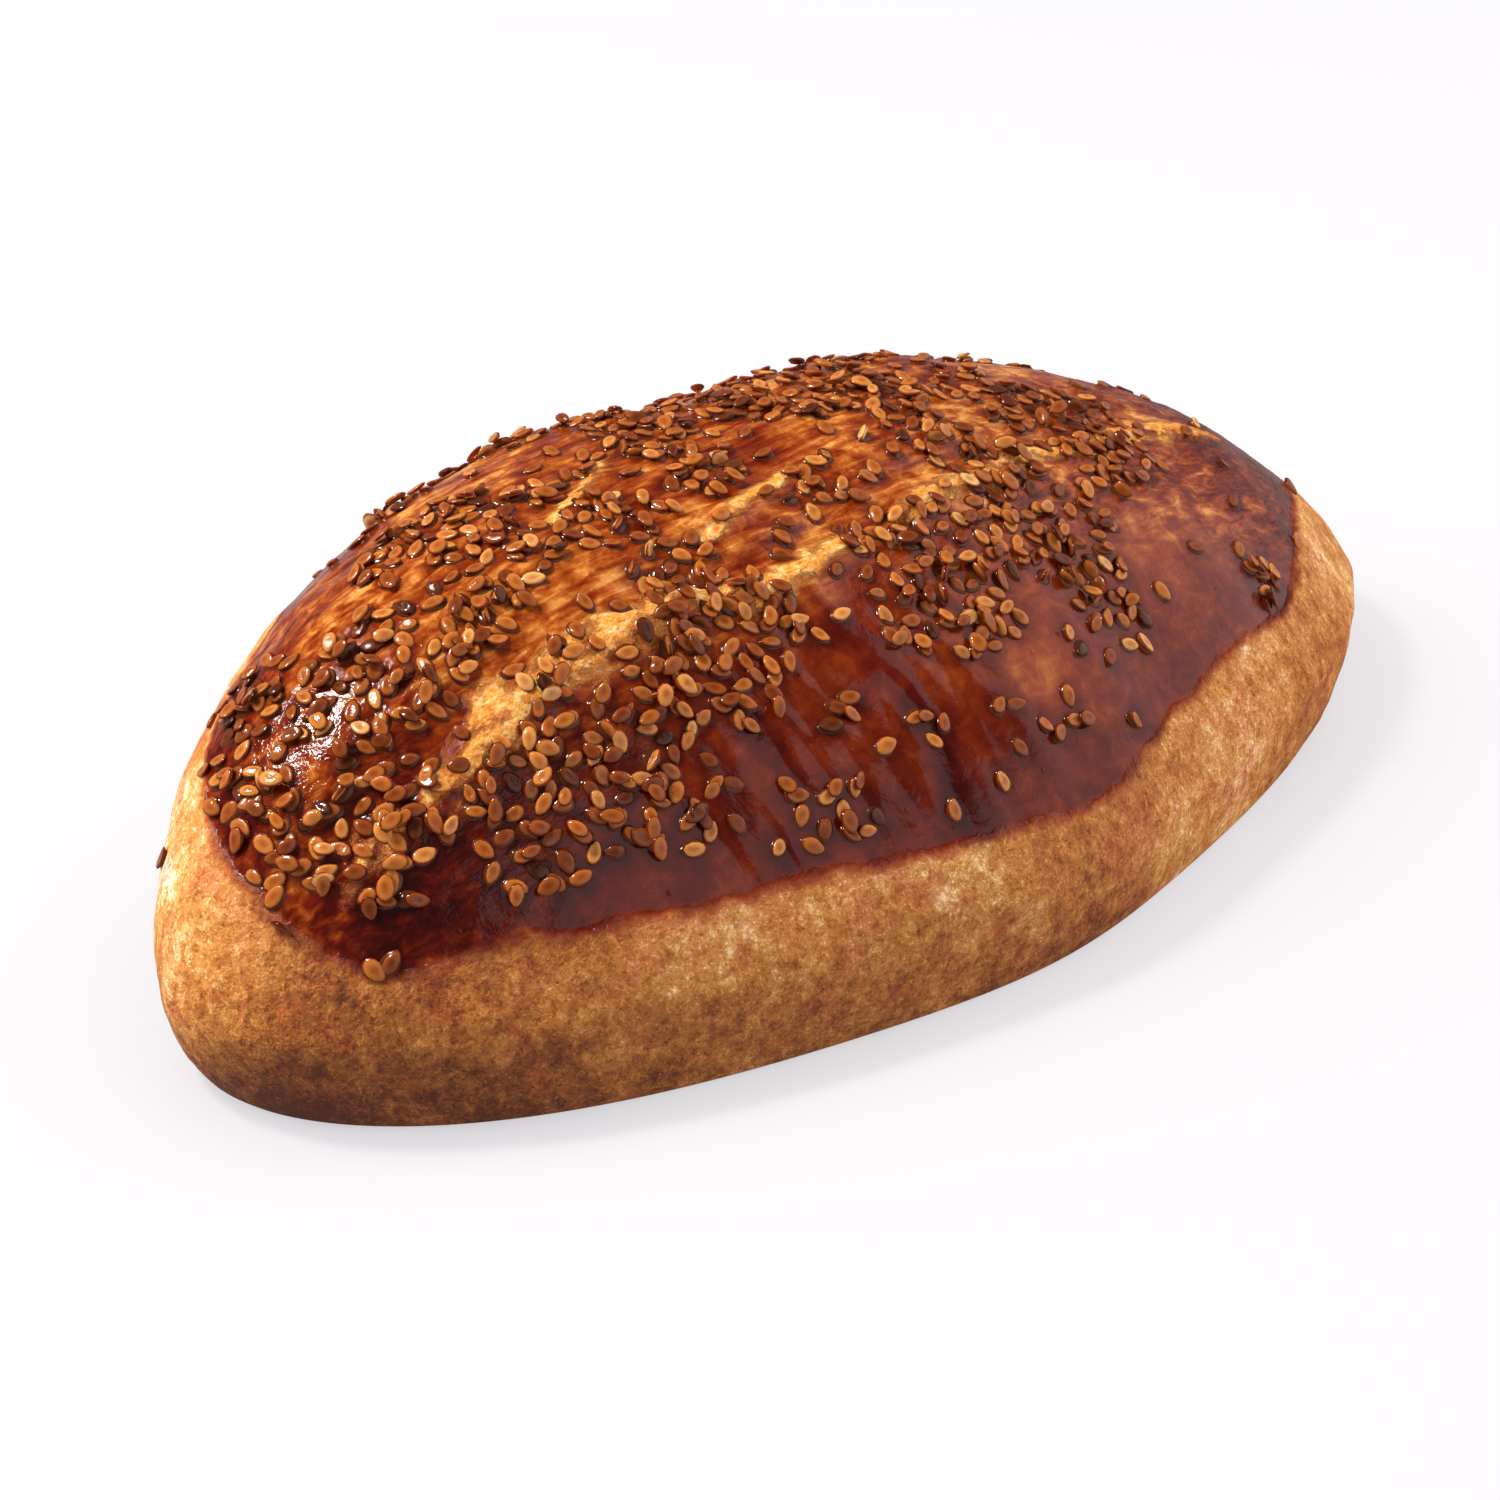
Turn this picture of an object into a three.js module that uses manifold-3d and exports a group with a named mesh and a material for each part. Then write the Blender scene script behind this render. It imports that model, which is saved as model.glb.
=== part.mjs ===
// A long soft bread roll with a brushed glaze on its top and sesame seeds baked onto it.
// Millimetres, +Z up, +X along the roll towards its slimmer end, -Y its near long side.
// The origin lies on the flat underside, below the middle of the roll's box.

import * as THREE from 'three';
import { mergeVertices } from 'three/addons/utils/BufferGeometryUtils.js';
import Module from 'manifold-3d';

// Size of the dough
const LENGTH = 196;
const WIDTH = 97;
const HEIGHT = 55;

// Outline seen from above: an oval with slightly flat, slightly turned flanks
const OVAL_POWER = 1.89;
const OVAL_SKEW = 0.009;
const OVAL_FLATTENING = 0.033;

// Side view: the widest line lies low, above a slightly smaller flat foot
const RIM_LEVEL = 0.23;
const FOOT_SHARE = 0.946;
const FOOT_POWER = 1.7;

// Fullness of the dome towards the blunt end, the slim end, the far side and the near side
const FULL_BLUNT = 2.9;
const FULL_SLIM = 1.7;
const FULL_FAR = 1.5;
const FULL_NEAR = 1.88;
const DOME_POWER = 1.46;
const CROWN_ROUNDING = 0.14;

// The crown leans away from the near side and drops towards the slim end
const CROWN_LEAN = 15;
const CROWN_TILT = -3;

// Centres the roll's box across its width
const BOX_SHIFT = -0.11;

// The way down the skin: 0 at the crown, this share at the widest line, 1 at the foot
const RIM_SHARE = 0.75;

// Faces of the dough: a square grid drawn into a disc, with its rings closer at the stretch marks
const RINGS = 23;
const RING_STOPS = [
  { ring: 0, way: 0 },
  { ring: 3, way: 0.11 },
  { ring: 12, way: 0.29 },
  { ring: 20, way: RIM_SHARE },
  { ring: RINGS, way: 1 },
];
const GRID = 2 * RINGS;
const END_BUNCHING = 0.5;

// Low swells of the skin
const RANDOM_START = 4530;
const SWELLS = 7;
const SWELL_SHORTEST = 16;
const SWELL_LONGEST = 46;
const SWELL_SLOPE = 0.0045;

// Stretch marks: each pale ridge has a furrow beside it on its far side
// Start, end, sideways bow, half width and height of each
const STRETCH_MARKS = [
  { from: [-79, -17], to: [-61, -21], bow: -0.8, half: 1.6, high: 0.6 },
  { from: [-61, -19.5], to: [-34, -22.5], bow: -0.5, half: 2.4, high: 0.8 },
  { from: [-34, -22.5], to: [-9, -24.3], bow: -1.8, half: 1.6, high: 1 },
  { from: [-23, -18.2], to: [-8, -14.4], bow: 0.4, half: 1.3, high: 0.7 },
  { from: [-37, -6.5], to: [-26, -1], bow: -0.4, half: 1.3, high: 0.6 },
  { from: [3, -24], to: [22, -21.5], bow: 0.8, half: 1.4, high: 0.7 },
  { from: [25, -19.2], to: [40, -18.6], bow: 0.6, half: 1.2, high: 0.6 },
  { from: [47, -16], to: [70, -10], bow: 0.6, half: 2.2, high: 0.6 },
];
const FURROW_OFFSET = 2.6;
const FURROW_DEPTH = 0.7;

// Skin relief ends before the widest line
const RELIEF_FADE_START = 0.86;

// Clusters of seeds on the part of the skin that the picture shows
// Middle, half length, half width, turn in degrees and number of seeds of each
const CROWN_CLUSTERS = [
  { at: [-84, -3], half: [4, 8], turn: 10, seeds: 18 },
  { at: [-77, 4.5], half: [5.5, 4.5], turn: 30, seeds: 22 },
  { at: [-69, -5], half: [9, 5.5], turn: -10, seeds: 40 },
  { at: [-70, -13], half: [11, 3.5], turn: 0, seeds: 40 },
  { at: [-50, 4.5], half: [10, 4.5], turn: 0, seeds: 36 },
  { at: [-49, -7.5], half: [9, 6.5], turn: 0, seeds: 34 },
  { at: [-32.5, -11], half: [8, 4.5], turn: 0, seeds: 36 },
  { at: [-31, -19], half: [6, 2.5], turn: 0, seeds: 13 },
  { at: [-15.5, -9], half: [5.5, 3], turn: 10, seeds: 15 },
  { at: [-6, -18.5], half: [5, 2], turn: 0, seeds: 9 },
  { at: [-14, 3], half: [11, 7], turn: 0, seeds: 32 },
  { at: [5, 1], half: [8, 8], turn: 0, seeds: 40 },
  { at: [18, -4], half: [9, 6.5], turn: 0, seeds: 46 },
  { at: [16, -13], half: [4.5, 3.5], turn: 0, seeds: 12 },
  { at: [33, -4.5], half: [7.5, 5], turn: 0, seeds: 20 },
  { at: [44, -12.5], half: [14, 7], turn: 10, seeds: 46 },
  { at: [14, 11], half: [42, 6], turn: -6, seeds: 54 },
  { at: [-36, -0.5], half: [9, 2.5], turn: 0, seeds: 16 },
  { at: [-56, -13], half: [4, 3], turn: 0, seeds: 10 },
  { at: [-52, -20.5], half: [6, 2.2], turn: 10, seeds: 10 },
  { at: [23, -18], half: [3, 2], turn: 0, seeds: 5 },
];
const FLANK_CLUSTERS = [
  { at: [-79, -16], half: [8, 4], turn: -35, seeds: 26 },
  { at: [-57, -26.8], half: [14, 5.2], turn: -12, seeds: 74 },
  { at: [-33, -27], half: [13, 6], turn: 0, seeds: 84 },
  { at: [1, -30], half: [12, 7.5], turn: 0, seeds: 70 },
  { at: [22, -27], half: [11, 6], turn: 6, seeds: 44 },
  { at: [44, -21], half: [10, 3], turn: 12, seeds: 16 },
  { at: [-70, -20], half: [5, 2.5], turn: -20, seeds: 8 },
  { at: [-80, -21.5], half: [4, 2], turn: -35, seeds: 6 },
  { at: [-84, -20], half: [1.6, 1], turn: 0, seeds: 2 },
  { at: [-87, -11], half: [1.5, 2], turn: 0, seeds: 2 },
  { at: [-65, -30], half: [3.5, 1.8], turn: -20, seeds: 6 },
  { at: [-45, -34], half: [7, 2.5], turn: -8, seeds: 10 },
  { at: [-34, -39], half: [8, 2.5], turn: -5, seeds: 7 },
  { at: [24, -34], half: [7, 3], turn: 12, seeds: 10 },
  { at: [58, -31], half: [4, 2.5], turn: 20, seeds: 5 },
];

// The far flank carries the near flank's clusters turned half round
const FAR_FLANK_SHIFT = [4, -2];
const LONE_SEEDS = 150;
const CLUSTER_DENSE_MIDDLE = 0.62;

// Seeds: a flat drop with one pointed end
const SEED_LONGEST = 3.3;
const SEED_SHORTEST = 2.5;
const SEED_WIDTH_SHARE = 0.64;
const SEED_THICK_SHARE = 0.4;
const SEED_TAPER = 0.34;
const SEED_GAP = 2.05;
const SEED_TILT = 0.24;
const SEED_LIFT_SHARE = 0.06;
const SEED_TRIES = 14;
const SEED_EDGE_SHARE = 0.93;

// The seeds that stand on the solid: the largest, spread evenly over the clusters
const SOLID_SEEDS = 150;
const SOLID_SEED_SPACING = 4.6;
const SOLID_SEED_SIDES = 6;
const SOLID_SEED_STEPS = 3;
const SEAT_SEARCH = 5;

const CRUST_COLOR = 0x8f4a1e;
const CRUST_ROUGHNESS = 0.35;

// A small repeatable stream of random numbers between 0 and 1
function makeRandom(start) {
  let state = start >>> 0;
  return function draw() {
    state = (state + 0x6d2b79f5) >>> 0;
    let mixed = Math.imul(state ^ (state >>> 15), 1 | state);
    mixed = (mixed + Math.imul(mixed ^ (mixed >>> 7), 61 | mixed)) ^ mixed;
    return ((mixed ^ (mixed >>> 14)) >>> 0) / 4294967296;
  };
}

function smoothstep(edge0, edge1, value) {
  const share = Math.min(Math.max((value - edge0) / (edge1 - edge0), 0), 1);
  return share * share * (3 - 2 * share);
}

// Distance from the middle to the widest line in one direction
function ovalRadius(angle) {
  const c = Math.cos(angle);
  const s = Math.sin(angle);
  const along = Math.abs(c / (LENGTH / 2)) ** OVAL_POWER;
  const across = Math.abs(s / (WIDTH / 2)) ** OVAL_POWER;
  const skew = OVAL_SKEW * Math.sin(2 * angle);
  const flattening = (OVAL_FLATTENING * (1 - Math.cos(4 * angle))) / 2;
  return (along + across) ** (-1 / OVAL_POWER) * (1 + skew - flattening);
}

// How long the dome stays high on its way out in one direction
function fullness(angle) {
  const c = Math.cos(angle);
  const s = Math.sin(angle);
  const lengthwise = FULL_BLUNT + (FULL_SLIM - FULL_BLUNT) * (1 + c) / 2;
  const crosswise = FULL_NEAR + (FULL_FAR - FULL_NEAR) * (1 + s) / 2;
  return c * c * lengthwise + s * s * crosswise;
}

function roundedShare(share) {
  const rounded = Math.hypot(share, CROWN_ROUNDING) - CROWN_ROUNDING;
  return rounded / (Math.hypot(1, CROWN_ROUNDING) - CROWN_ROUNDING);
}

// A point at a height share, moved by the crown's lean and tilt
function leaned(x, y, level) {
  const up = Math.max(level - RIM_LEVEL, 0);
  const z = level * HEIGHT + CROWN_TILT * (x / (LENGTH / 2)) * up;
  return new THREE.Vector3(x, y + CROWN_LEAN * up + BOX_SHIFT, z);
}

// The smooth dome above a plan point that lies at a share of the way out
function domePoint(angle, share) {
  const reach = ovalRadius(angle) * share;
  const fall = Math.max(1 - roundedShare(share) ** fullness(angle), 0);
  const level = RIM_LEVEL + (1 - RIM_LEVEL) * fall ** (1 / DOME_POWER);
  return leaned(reach * Math.cos(angle), reach * Math.sin(angle), level);
}

// The wall below the widest line, from the floor at rise 0 to that line at rise 1
function footPoint(angle, rise) {
  const bulge = (1 - (1 - rise) ** FOOT_POWER) ** (1 / FOOT_POWER);
  const reach = ovalRadius(angle) * (FOOT_SHARE + (1 - FOOT_SHARE) * bulge);
  return leaned(reach * Math.cos(angle), reach * Math.sin(angle), RIM_LEVEL * rise);
}

function planShare(x, y) {
  const angle = Math.atan2(y, x);
  return Math.hypot(x, y) / ovalRadius(angle);
}

function smoothSkin(x, y) {
  return domePoint(Math.atan2(y, x), Math.min(planShare(x, y), 1));
}

// Outward direction of the smooth dome above a plan point
function skinNormal(x, y) {
  const step = 0.2;
  const alongX = smoothSkin(x + step, y).sub(smoothSkin(x - step, y));
  const alongY = smoothSkin(x, y + step).sub(smoothSkin(x, y - step));
  return alongX.cross(alongY).normalize();
}

function makeSwells() {
  const random = makeRandom(RANDOM_START);
  const swells = [];
  for (let i = 0; i < SWELLS; i += 1) {
    const heading = random() * Math.PI * 2;
    const wavelength = SWELL_SHORTEST + (SWELL_LONGEST - SWELL_SHORTEST) * random();
    swells.push({
      x: (Math.cos(heading) * Math.PI * 2) / wavelength,
      y: (Math.sin(heading) * Math.PI * 2) / wavelength,
      phase: random() * Math.PI * 2,
      high: wavelength * SWELL_SLOPE,
    });
  }
  return swells;
}

const swells = makeSwells();

// Height of a stretch mark's ridge, less its furrow, at a plan point
function stretchRelief(mark, x, y) {
  const runX = mark.to[0] - mark.from[0];
  const runY = mark.to[1] - mark.from[1];
  const run = Math.hypot(runX, runY);
  const along = ((x - mark.from[0]) * runX + (y - mark.from[1]) * runY) / (run * run);
  const inside = Math.min(Math.max(along, 0), 1);
  const bowed = mark.bow * 4 * inside * (1 - inside);
  const side = (runX * (y - mark.from[1]) - runY * (x - mark.from[0])) / run - bowed;
  const beyond = Math.abs(along - inside) * run;
  const ridge = Math.exp(-((side * side + beyond * beyond) / (mark.half * mark.half)));
  const back = side - FURROW_OFFSET;
  const furrow = Math.exp(-((back * back) / 4 + (beyond * beyond) / 16));
  return mark.high * (ridge - FURROW_DEPTH * furrow);
}

function skinRelief(x, y) {
  let high = 0;
  for (const swell of swells) {
    high += swell.high * Math.sin(swell.x * x + swell.y * y + swell.phase);
  }
  for (const mark of STRETCH_MARKS) {
    high += stretchRelief(mark, x, y);
  }
  return high * (1 - smoothstep(RELIEF_FADE_START, 1, planShare(x, y)));
}

function skinPoint(x, y) {
  return smoothSkin(x, y).addScaledVector(skinNormal(x, y), skinRelief(x, y));
}

// A point of the whole skin at a bunched angle and a share of the way from crown to foot
function wrapPoint(turn, way) {
  const angle = Math.atan2(END_BUNCHING * Math.sin(turn), Math.cos(turn));
  if (way >= RIM_SHARE) {
    return footPoint(angle, (1 - way) / (1 - RIM_SHARE));
  }
  const share = Math.cos((Math.PI / 2) * (1 - way / RIM_SHARE));
  const reach = ovalRadius(angle) * share;
  return skinPoint(reach * Math.cos(angle), reach * Math.sin(angle));
}

// A square's point drawn into a disc: the turn around it and its ring, from the middle out
function squareToDisc(u, v) {
  if (u === 0 && v === 0) {
    return { turn: 0, ring: 0 };
  }
  const quarter = Math.PI / 4;
  if (Math.abs(u) > Math.abs(v)) {
    return { turn: quarter * (v / u) + (u < 0 ? Math.PI : 0), ring: Math.abs(u) };
  }
  return { turn: Math.PI / 2 - quarter * (u / v) + (v < 0 ? Math.PI : 0), ring: Math.abs(v) };
}

function wayOfRing(ring) {
  const next = Math.max(RING_STOPS.findIndex((stop) => stop.ring >= ring), 1);
  const before = RING_STOPS[next - 1];
  const after = RING_STOPS[next];
  const share = (ring - before.ring) / (after.ring - before.ring);
  return before.way + (after.way - before.way) * share;
}

function indexedGeometry(points, faces) {
  const geometry = new THREE.BufferGeometry();
  const positions = new Float32Array(points.length * 3);
  points.forEach((point, i) => point.toArray(positions, i * 3));
  geometry.setAttribute('position', new THREE.BufferAttribute(positions, 3));
  geometry.setIndex(faces);
  return geometry;
}

// The square's border in order, as grid numbers, counter-clockwise from above
function borderLoop(number) {
  const loop = [];
  for (let i = 0; i < GRID; i += 1) loop.push(number(i, 0));
  for (let i = 0; i < GRID; i += 1) loop.push(number(GRID, i));
  for (let i = GRID; i > 0; i -= 1) loop.push(number(i, GRID));
  for (let i = GRID; i > 0; i -= 1) loop.push(number(0, i));
  return loop;
}

// The dough: its skin down to the foot, closed by the flat underside
function doughGeometry() {
  const points = [];
  const faces = [];
  const number = (i, j) => j * (GRID + 1) + i;
  for (let j = 0; j <= GRID; j += 1) {
    for (let i = 0; i <= GRID; i += 1) {
      const { turn, ring } = squareToDisc(i - RINGS, j - RINGS);
      points.push(wrapPoint(turn, wayOfRing(ring)));
    }
  }
  for (let j = 0; j < GRID; j += 1) {
    for (let i = 0; i < GRID; i += 1) {
      const corners = [number(i, j), number(i + 1, j), number(i + 1, j + 1), number(i, j + 1)];
      const [a, b, c, d] = corners;
      if (points[a].distanceTo(points[c]) <= points[b].distanceTo(points[d])) {
        faces.push(a, b, c, a, c, d);
      } else {
        faces.push(a, b, d, b, c, d);
      }
    }
  }
  const middle = points.push(new THREE.Vector3(0, 0, 0)) - 1;
  const loop = borderLoop(number);
  loop.forEach((from, i) => faces.push(middle, loop[(i + 1) % loop.length], from));
  return indexedGeometry(points, faces);
}

// A plan point inside a cluster, thicker towards its middle
function drawInCluster(cluster, random) {
  const heading = random() * Math.PI * 2;
  const out = random() ** CLUSTER_DENSE_MIDDLE;
  const turn = THREE.MathUtils.degToRad(cluster.turn);
  const along = cluster.half[0] * out * Math.cos(heading);
  const across = cluster.half[1] * out * Math.sin(heading);
  return [
    cluster.at[0] + along * Math.cos(turn) - across * Math.sin(turn),
    cluster.at[1] + along * Math.sin(turn) + across * Math.cos(turn),
  ];
}

function drawAnywhere(random) {
  const angle = random() * Math.PI * 2;
  const reach = ovalRadius(angle) * SEED_EDGE_SHARE * Math.sqrt(random());
  return [reach * Math.cos(angle), reach * Math.sin(angle)];
}

// One seed on the skin where there is room for it, or nothing
function placeSeed(drawPlan, placed, random) {
  for (let attempt = 0; attempt < SEED_TRIES; attempt += 1) {
    const [x, y] = drawPlan(random);
    const at = skinPoint(x, y);
    const onGlaze = planShare(x, y) < SEED_EDGE_SHARE;
    if (onGlaze && placed.every((seed) => seed.at.distanceTo(at) > SEED_GAP)) {
      return {
        at,
        normal: skinNormal(x, y),
        heading: random() * Math.PI * 2,
        length: SEED_SHORTEST + (SEED_LONGEST - SEED_SHORTEST) * random(),
        pitch: SEED_TILT * (2 * random() - 1),
        roll: SEED_TILT * (2 * random() - 1),
      };
    }
  }
  return null;
}

function allClusters() {
  const farFlank = FLANK_CLUSTERS.map((cluster) => ({
    ...cluster,
    at: [FAR_FLANK_SHIFT[0] - cluster.at[0], FAR_FLANK_SHIFT[1] - cluster.at[1]],
  }));
  return [...CROWN_CLUSTERS, ...FLANK_CLUSTERS, ...farFlank];
}

function scatterSeeds() {
  const random = makeRandom(RANDOM_START + 1);
  const placed = [];
  const keep = (seed) => seed && placed.push(seed);
  for (const cluster of allClusters()) {
    for (let i = 0; i < cluster.seeds; i += 1) {
      keep(placeSeed((draw) => drawInCluster(cluster, draw), placed, random));
    }
  }
  for (let i = 0; i < LONE_SEEDS; i += 1) {
    keep(placeSeed(drawAnywhere, placed, random));
  }
  return placed;
}

// The largest seeds first, each one clear of those already chosen
function seedsOfSolid() {
  const chosen = [];
  const bySize = scatterSeeds().sort((a, b) => b.length - a.length);
  for (const seed of bySize) {
    const clear = chosen.every((other) => other.at.distanceTo(seed.at) > SOLID_SEED_SPACING);
    if (clear && chosen.length < SOLID_SEEDS) {
      chosen.push(seed);
    }
  }
  return chosen;
}

// Moves a seed along its normal onto the dough's faces
function seated(seed, dough) {
  const above = seed.at.clone().addScaledVector(seed.normal, SEAT_SEARCH);
  const down = new THREE.Raycaster(above, seed.normal.clone().negate());
  return { ...seed, at: down.intersectObject(dough)[0].point };
}

// A seed lies on the skin with its length along its heading
function seedMatrix(seed) {
  const forward = new THREE.Vector3(1, 0, 0).projectOnPlane(seed.normal).normalize();
  const side = seed.normal.clone().cross(forward);
  const matrix = new THREE.Matrix4().makeBasis(forward, side, seed.normal);
  matrix.multiply(new THREE.Matrix4().makeRotationZ(seed.heading));
  matrix.multiply(new THREE.Matrix4().makeRotationY(seed.pitch));
  matrix.multiply(new THREE.Matrix4().makeRotationX(seed.roll));
  const lift = seed.length * SEED_LIFT_SHARE;
  matrix.setPosition(seed.at.clone().addScaledVector(seed.normal, lift));
  return matrix;
}

function seedGeometry(seed) {
  const geometry = new THREE.SphereGeometry(1, SOLID_SEED_SIDES, SOLID_SEED_STEPS);
  geometry.rotateZ(-Math.PI / 2);
  const position = geometry.attributes.position;
  for (let i = 0; i < position.count; i += 1) {
    const narrowing = 1 - SEED_TAPER * position.getX(i);
    position.setY(i, position.getY(i) * narrowing);
    position.setZ(i, position.getZ(i) * narrowing);
  }
  const half = seed.length / 2;
  geometry.scale(half, half * SEED_WIDTH_SHARE, half * SEED_THICK_SHARE);
  geometry.applyMatrix4(seedMatrix(seed));
  geometry.deleteAttribute('normal');
  geometry.deleteAttribute('uv');
  return mergeVertices(geometry);
}

const wasm = await Module();
wasm.setup();

function toSolid(geometry) {
  const vertProperties = new Float32Array(geometry.attributes.position.array);
  const triVerts = new Uint32Array(geometry.index.array);
  return new wasm.Manifold(new wasm.Mesh({ numProp: 3, vertProperties, triVerts }));
}

function toGeometry(solid) {
  const mesh = solid.getMesh();
  const geometry = new THREE.BufferGeometry();
  geometry.setAttribute('position', new THREE.BufferAttribute(mesh.vertProperties, 3));
  geometry.setIndex(new THREE.BufferAttribute(mesh.triVerts, 1));
  geometry.computeVertexNormals();
  return geometry;
}

// The dough with its largest seeds baked on, one solid
function rollGeometry() {
  const dough = new THREE.Mesh(doughGeometry());
  let solid = toSolid(dough.geometry);
  for (const seed of seedsOfSolid()) {
    solid = solid.add(toSolid(seedGeometry(seated(seed, dough))));
  }
  return toGeometry(solid);
}

const crust = new THREE.MeshStandardMaterial({
  color: CRUST_COLOR,
  roughness: CRUST_ROUGHNESS,
  metalness: 0,
});

const roll = new THREE.Mesh(rollGeometry(), crust);
roll.name = 'bread_roll';

const group = new THREE.Group();
group.add(roll);

export default group;
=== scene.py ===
# A long soft bread roll with a brushed glaze and baked-on sesame seeds.
# The shape functions work in millimetres in the part's frame: +Z up, +X along the roll.

import math

import bpy
import numpy as np
from mathutils import Matrix, Vector, noise
from mathutils.bvhtree import BVHTree
from mathutils.kdtree import KDTree


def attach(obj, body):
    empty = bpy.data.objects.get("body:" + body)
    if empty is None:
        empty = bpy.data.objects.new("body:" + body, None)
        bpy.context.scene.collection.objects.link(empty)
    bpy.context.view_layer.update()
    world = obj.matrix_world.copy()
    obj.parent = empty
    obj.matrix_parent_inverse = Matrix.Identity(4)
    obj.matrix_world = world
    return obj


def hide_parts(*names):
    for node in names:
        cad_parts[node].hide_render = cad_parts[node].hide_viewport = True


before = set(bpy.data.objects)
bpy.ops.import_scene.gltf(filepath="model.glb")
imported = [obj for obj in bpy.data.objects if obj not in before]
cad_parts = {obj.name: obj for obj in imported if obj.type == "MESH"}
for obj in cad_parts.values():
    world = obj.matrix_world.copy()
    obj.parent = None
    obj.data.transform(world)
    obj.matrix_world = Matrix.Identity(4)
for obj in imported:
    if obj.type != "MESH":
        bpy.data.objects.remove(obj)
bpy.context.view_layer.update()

MM = 0.001

# Size and form of the dough, as in the solid
LENGTH = 196
WIDTH = 97
HEIGHT = 55
OVAL_POWER = 1.89
OVAL_SKEW = 0.009
OVAL_FLATTENING = 0.033
RIM_LEVEL = 0.23
FOOT_SHARE = 0.946
FOOT_POWER = 1.7
FULL_BLUNT = 2.9
FULL_SLIM = 1.7
FULL_FAR = 1.5
FULL_NEAR = 1.88
DOME_POWER = 1.46
CROWN_ROUNDING = 0.14
CROWN_LEAN = 15
CROWN_TILT = -3
BOX_SHIFT = -0.11
RIM_SHARE = 0.75
END_BUNCHING = 0.5

# Low swells and stretch marks, as in the solid
RANDOM_START = 4530
SWELLS = 7
SWELL_SHORTEST = 16
SWELL_LONGEST = 46
SWELL_SLOPE = 0.0045
RELIEF_FADE_START = 0.86
FURROW_OFFSET = 2.6
FURROW_DEPTH = 0.7
STRETCH_MARKS = [
    {"from": (-79, -17), "to": (-61, -21), "bow": -0.8, "half": 1.6, "high": 0.6},
    {"from": (-61, -19.5), "to": (-34, -22.5), "bow": -0.5, "half": 2.4, "high": 0.8},
    {"from": (-34, -22.5), "to": (-9, -24.3), "bow": -1.8, "half": 1.6, "high": 1},
    {"from": (-23, -18.2), "to": (-8, -14.4), "bow": 0.4, "half": 1.3, "high": 0.7},
    {"from": (-37, -6.5), "to": (-26, -1), "bow": -0.4, "half": 1.3, "high": 0.6},
    {"from": (3, -24), "to": (22, -21.5), "bow": 0.8, "half": 1.4, "high": 0.7},
    {"from": (25, -19.2), "to": (40, -18.6), "bow": 0.6, "half": 1.2, "high": 0.6},
    {"from": (47, -16), "to": (70, -10), "bow": 0.6, "half": 2.2, "high": 0.6},
]

# Seed clusters, as in the solid
CROWN_CLUSTERS = [
    {"at": (-84, -3), "half": (4, 8), "turn": 10, "seeds": 18},
    {"at": (-77, 4.5), "half": (5.5, 4.5), "turn": 30, "seeds": 22},
    {"at": (-69, -5), "half": (9, 5.5), "turn": -10, "seeds": 40},
    {"at": (-70, -13), "half": (11, 3.5), "seeds": 40},
    {"at": (-50, 4.5), "half": (10, 4.5), "seeds": 36},
    {"at": (-49, -7.5), "half": (9, 6.5), "seeds": 34},
    {"at": (-32.5, -11), "half": (8, 4.5), "seeds": 36},
    {"at": (-31, -19), "half": (6, 2.5), "seeds": 13},
    {"at": (-15.5, -9), "half": (5.5, 3), "turn": 10, "seeds": 15},
    {"at": (-6, -18.5), "half": (5, 2), "seeds": 9},
    {"at": (-14, 3), "half": (11, 7), "seeds": 32},
    {"at": (5, 1), "half": (8, 8), "seeds": 40},
    {"at": (18, -4), "half": (9, 6.5), "seeds": 46},
    {"at": (16, -13), "half": (4.5, 3.5), "seeds": 12},
    {"at": (33, -4.5), "half": (7.5, 5), "seeds": 20},
    {"at": (44, -12.5), "half": (14, 7), "turn": 10, "seeds": 46},
    {"at": (14, 11), "half": (42, 6), "turn": -6, "seeds": 54},
    {"at": (-36, -0.5), "half": (9, 2.5), "seeds": 16},
    {"at": (-56, -13), "half": (4, 3), "seeds": 10},
    {"at": (-52, -20.5), "half": (6, 2.2), "turn": 10, "seeds": 10},
    {"at": (23, -18), "half": (3, 2), "seeds": 5},
]
FLANK_CLUSTERS = [
    {"at": (-79, -16), "half": (8, 4), "turn": -35, "seeds": 26},
    {"at": (-57, -26.8), "half": (14, 5.2), "turn": -12, "seeds": 74},
    {"at": (-33, -27), "half": (13, 6), "seeds": 84},
    {"at": (1, -30), "half": (12, 7.5), "seeds": 70},
    {"at": (22, -27), "half": (11, 6), "turn": 6, "seeds": 44},
    {"at": (44, -21), "half": (10, 3), "turn": 12, "seeds": 16},
    {"at": (-70, -20), "half": (5, 2.5), "turn": -20, "seeds": 8},
    {"at": (-80, -21.5), "half": (4, 2), "turn": -35, "seeds": 6},
    {"at": (-84, -20), "half": (1.6, 1), "seeds": 2},
    {"at": (-87, -11), "half": (1.5, 2), "seeds": 2},
    {"at": (-65, -30), "half": (3.5, 1.8), "turn": -20, "seeds": 6},
    {"at": (-45, -34), "half": (7, 2.5), "turn": -8, "seeds": 10},
    {"at": (-34, -39), "half": (8, 2.5), "turn": -5, "seeds": 7},
    {"at": (24, -34), "half": (7, 3), "turn": 12, "seeds": 10},
    {"at": (58, -31), "half": (4, 2.5), "turn": 20, "seeds": 5},
]
FAR_FLANK_SHIFT = (4, -2)
LONE_SEEDS = 150
CLUSTER_DENSE_MIDDLE = 0.62
SEED_LONGEST = 3.3
SEED_SHORTEST = 2.5
SEED_GAP = 2.05
SEED_TILT = 0.24
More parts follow.
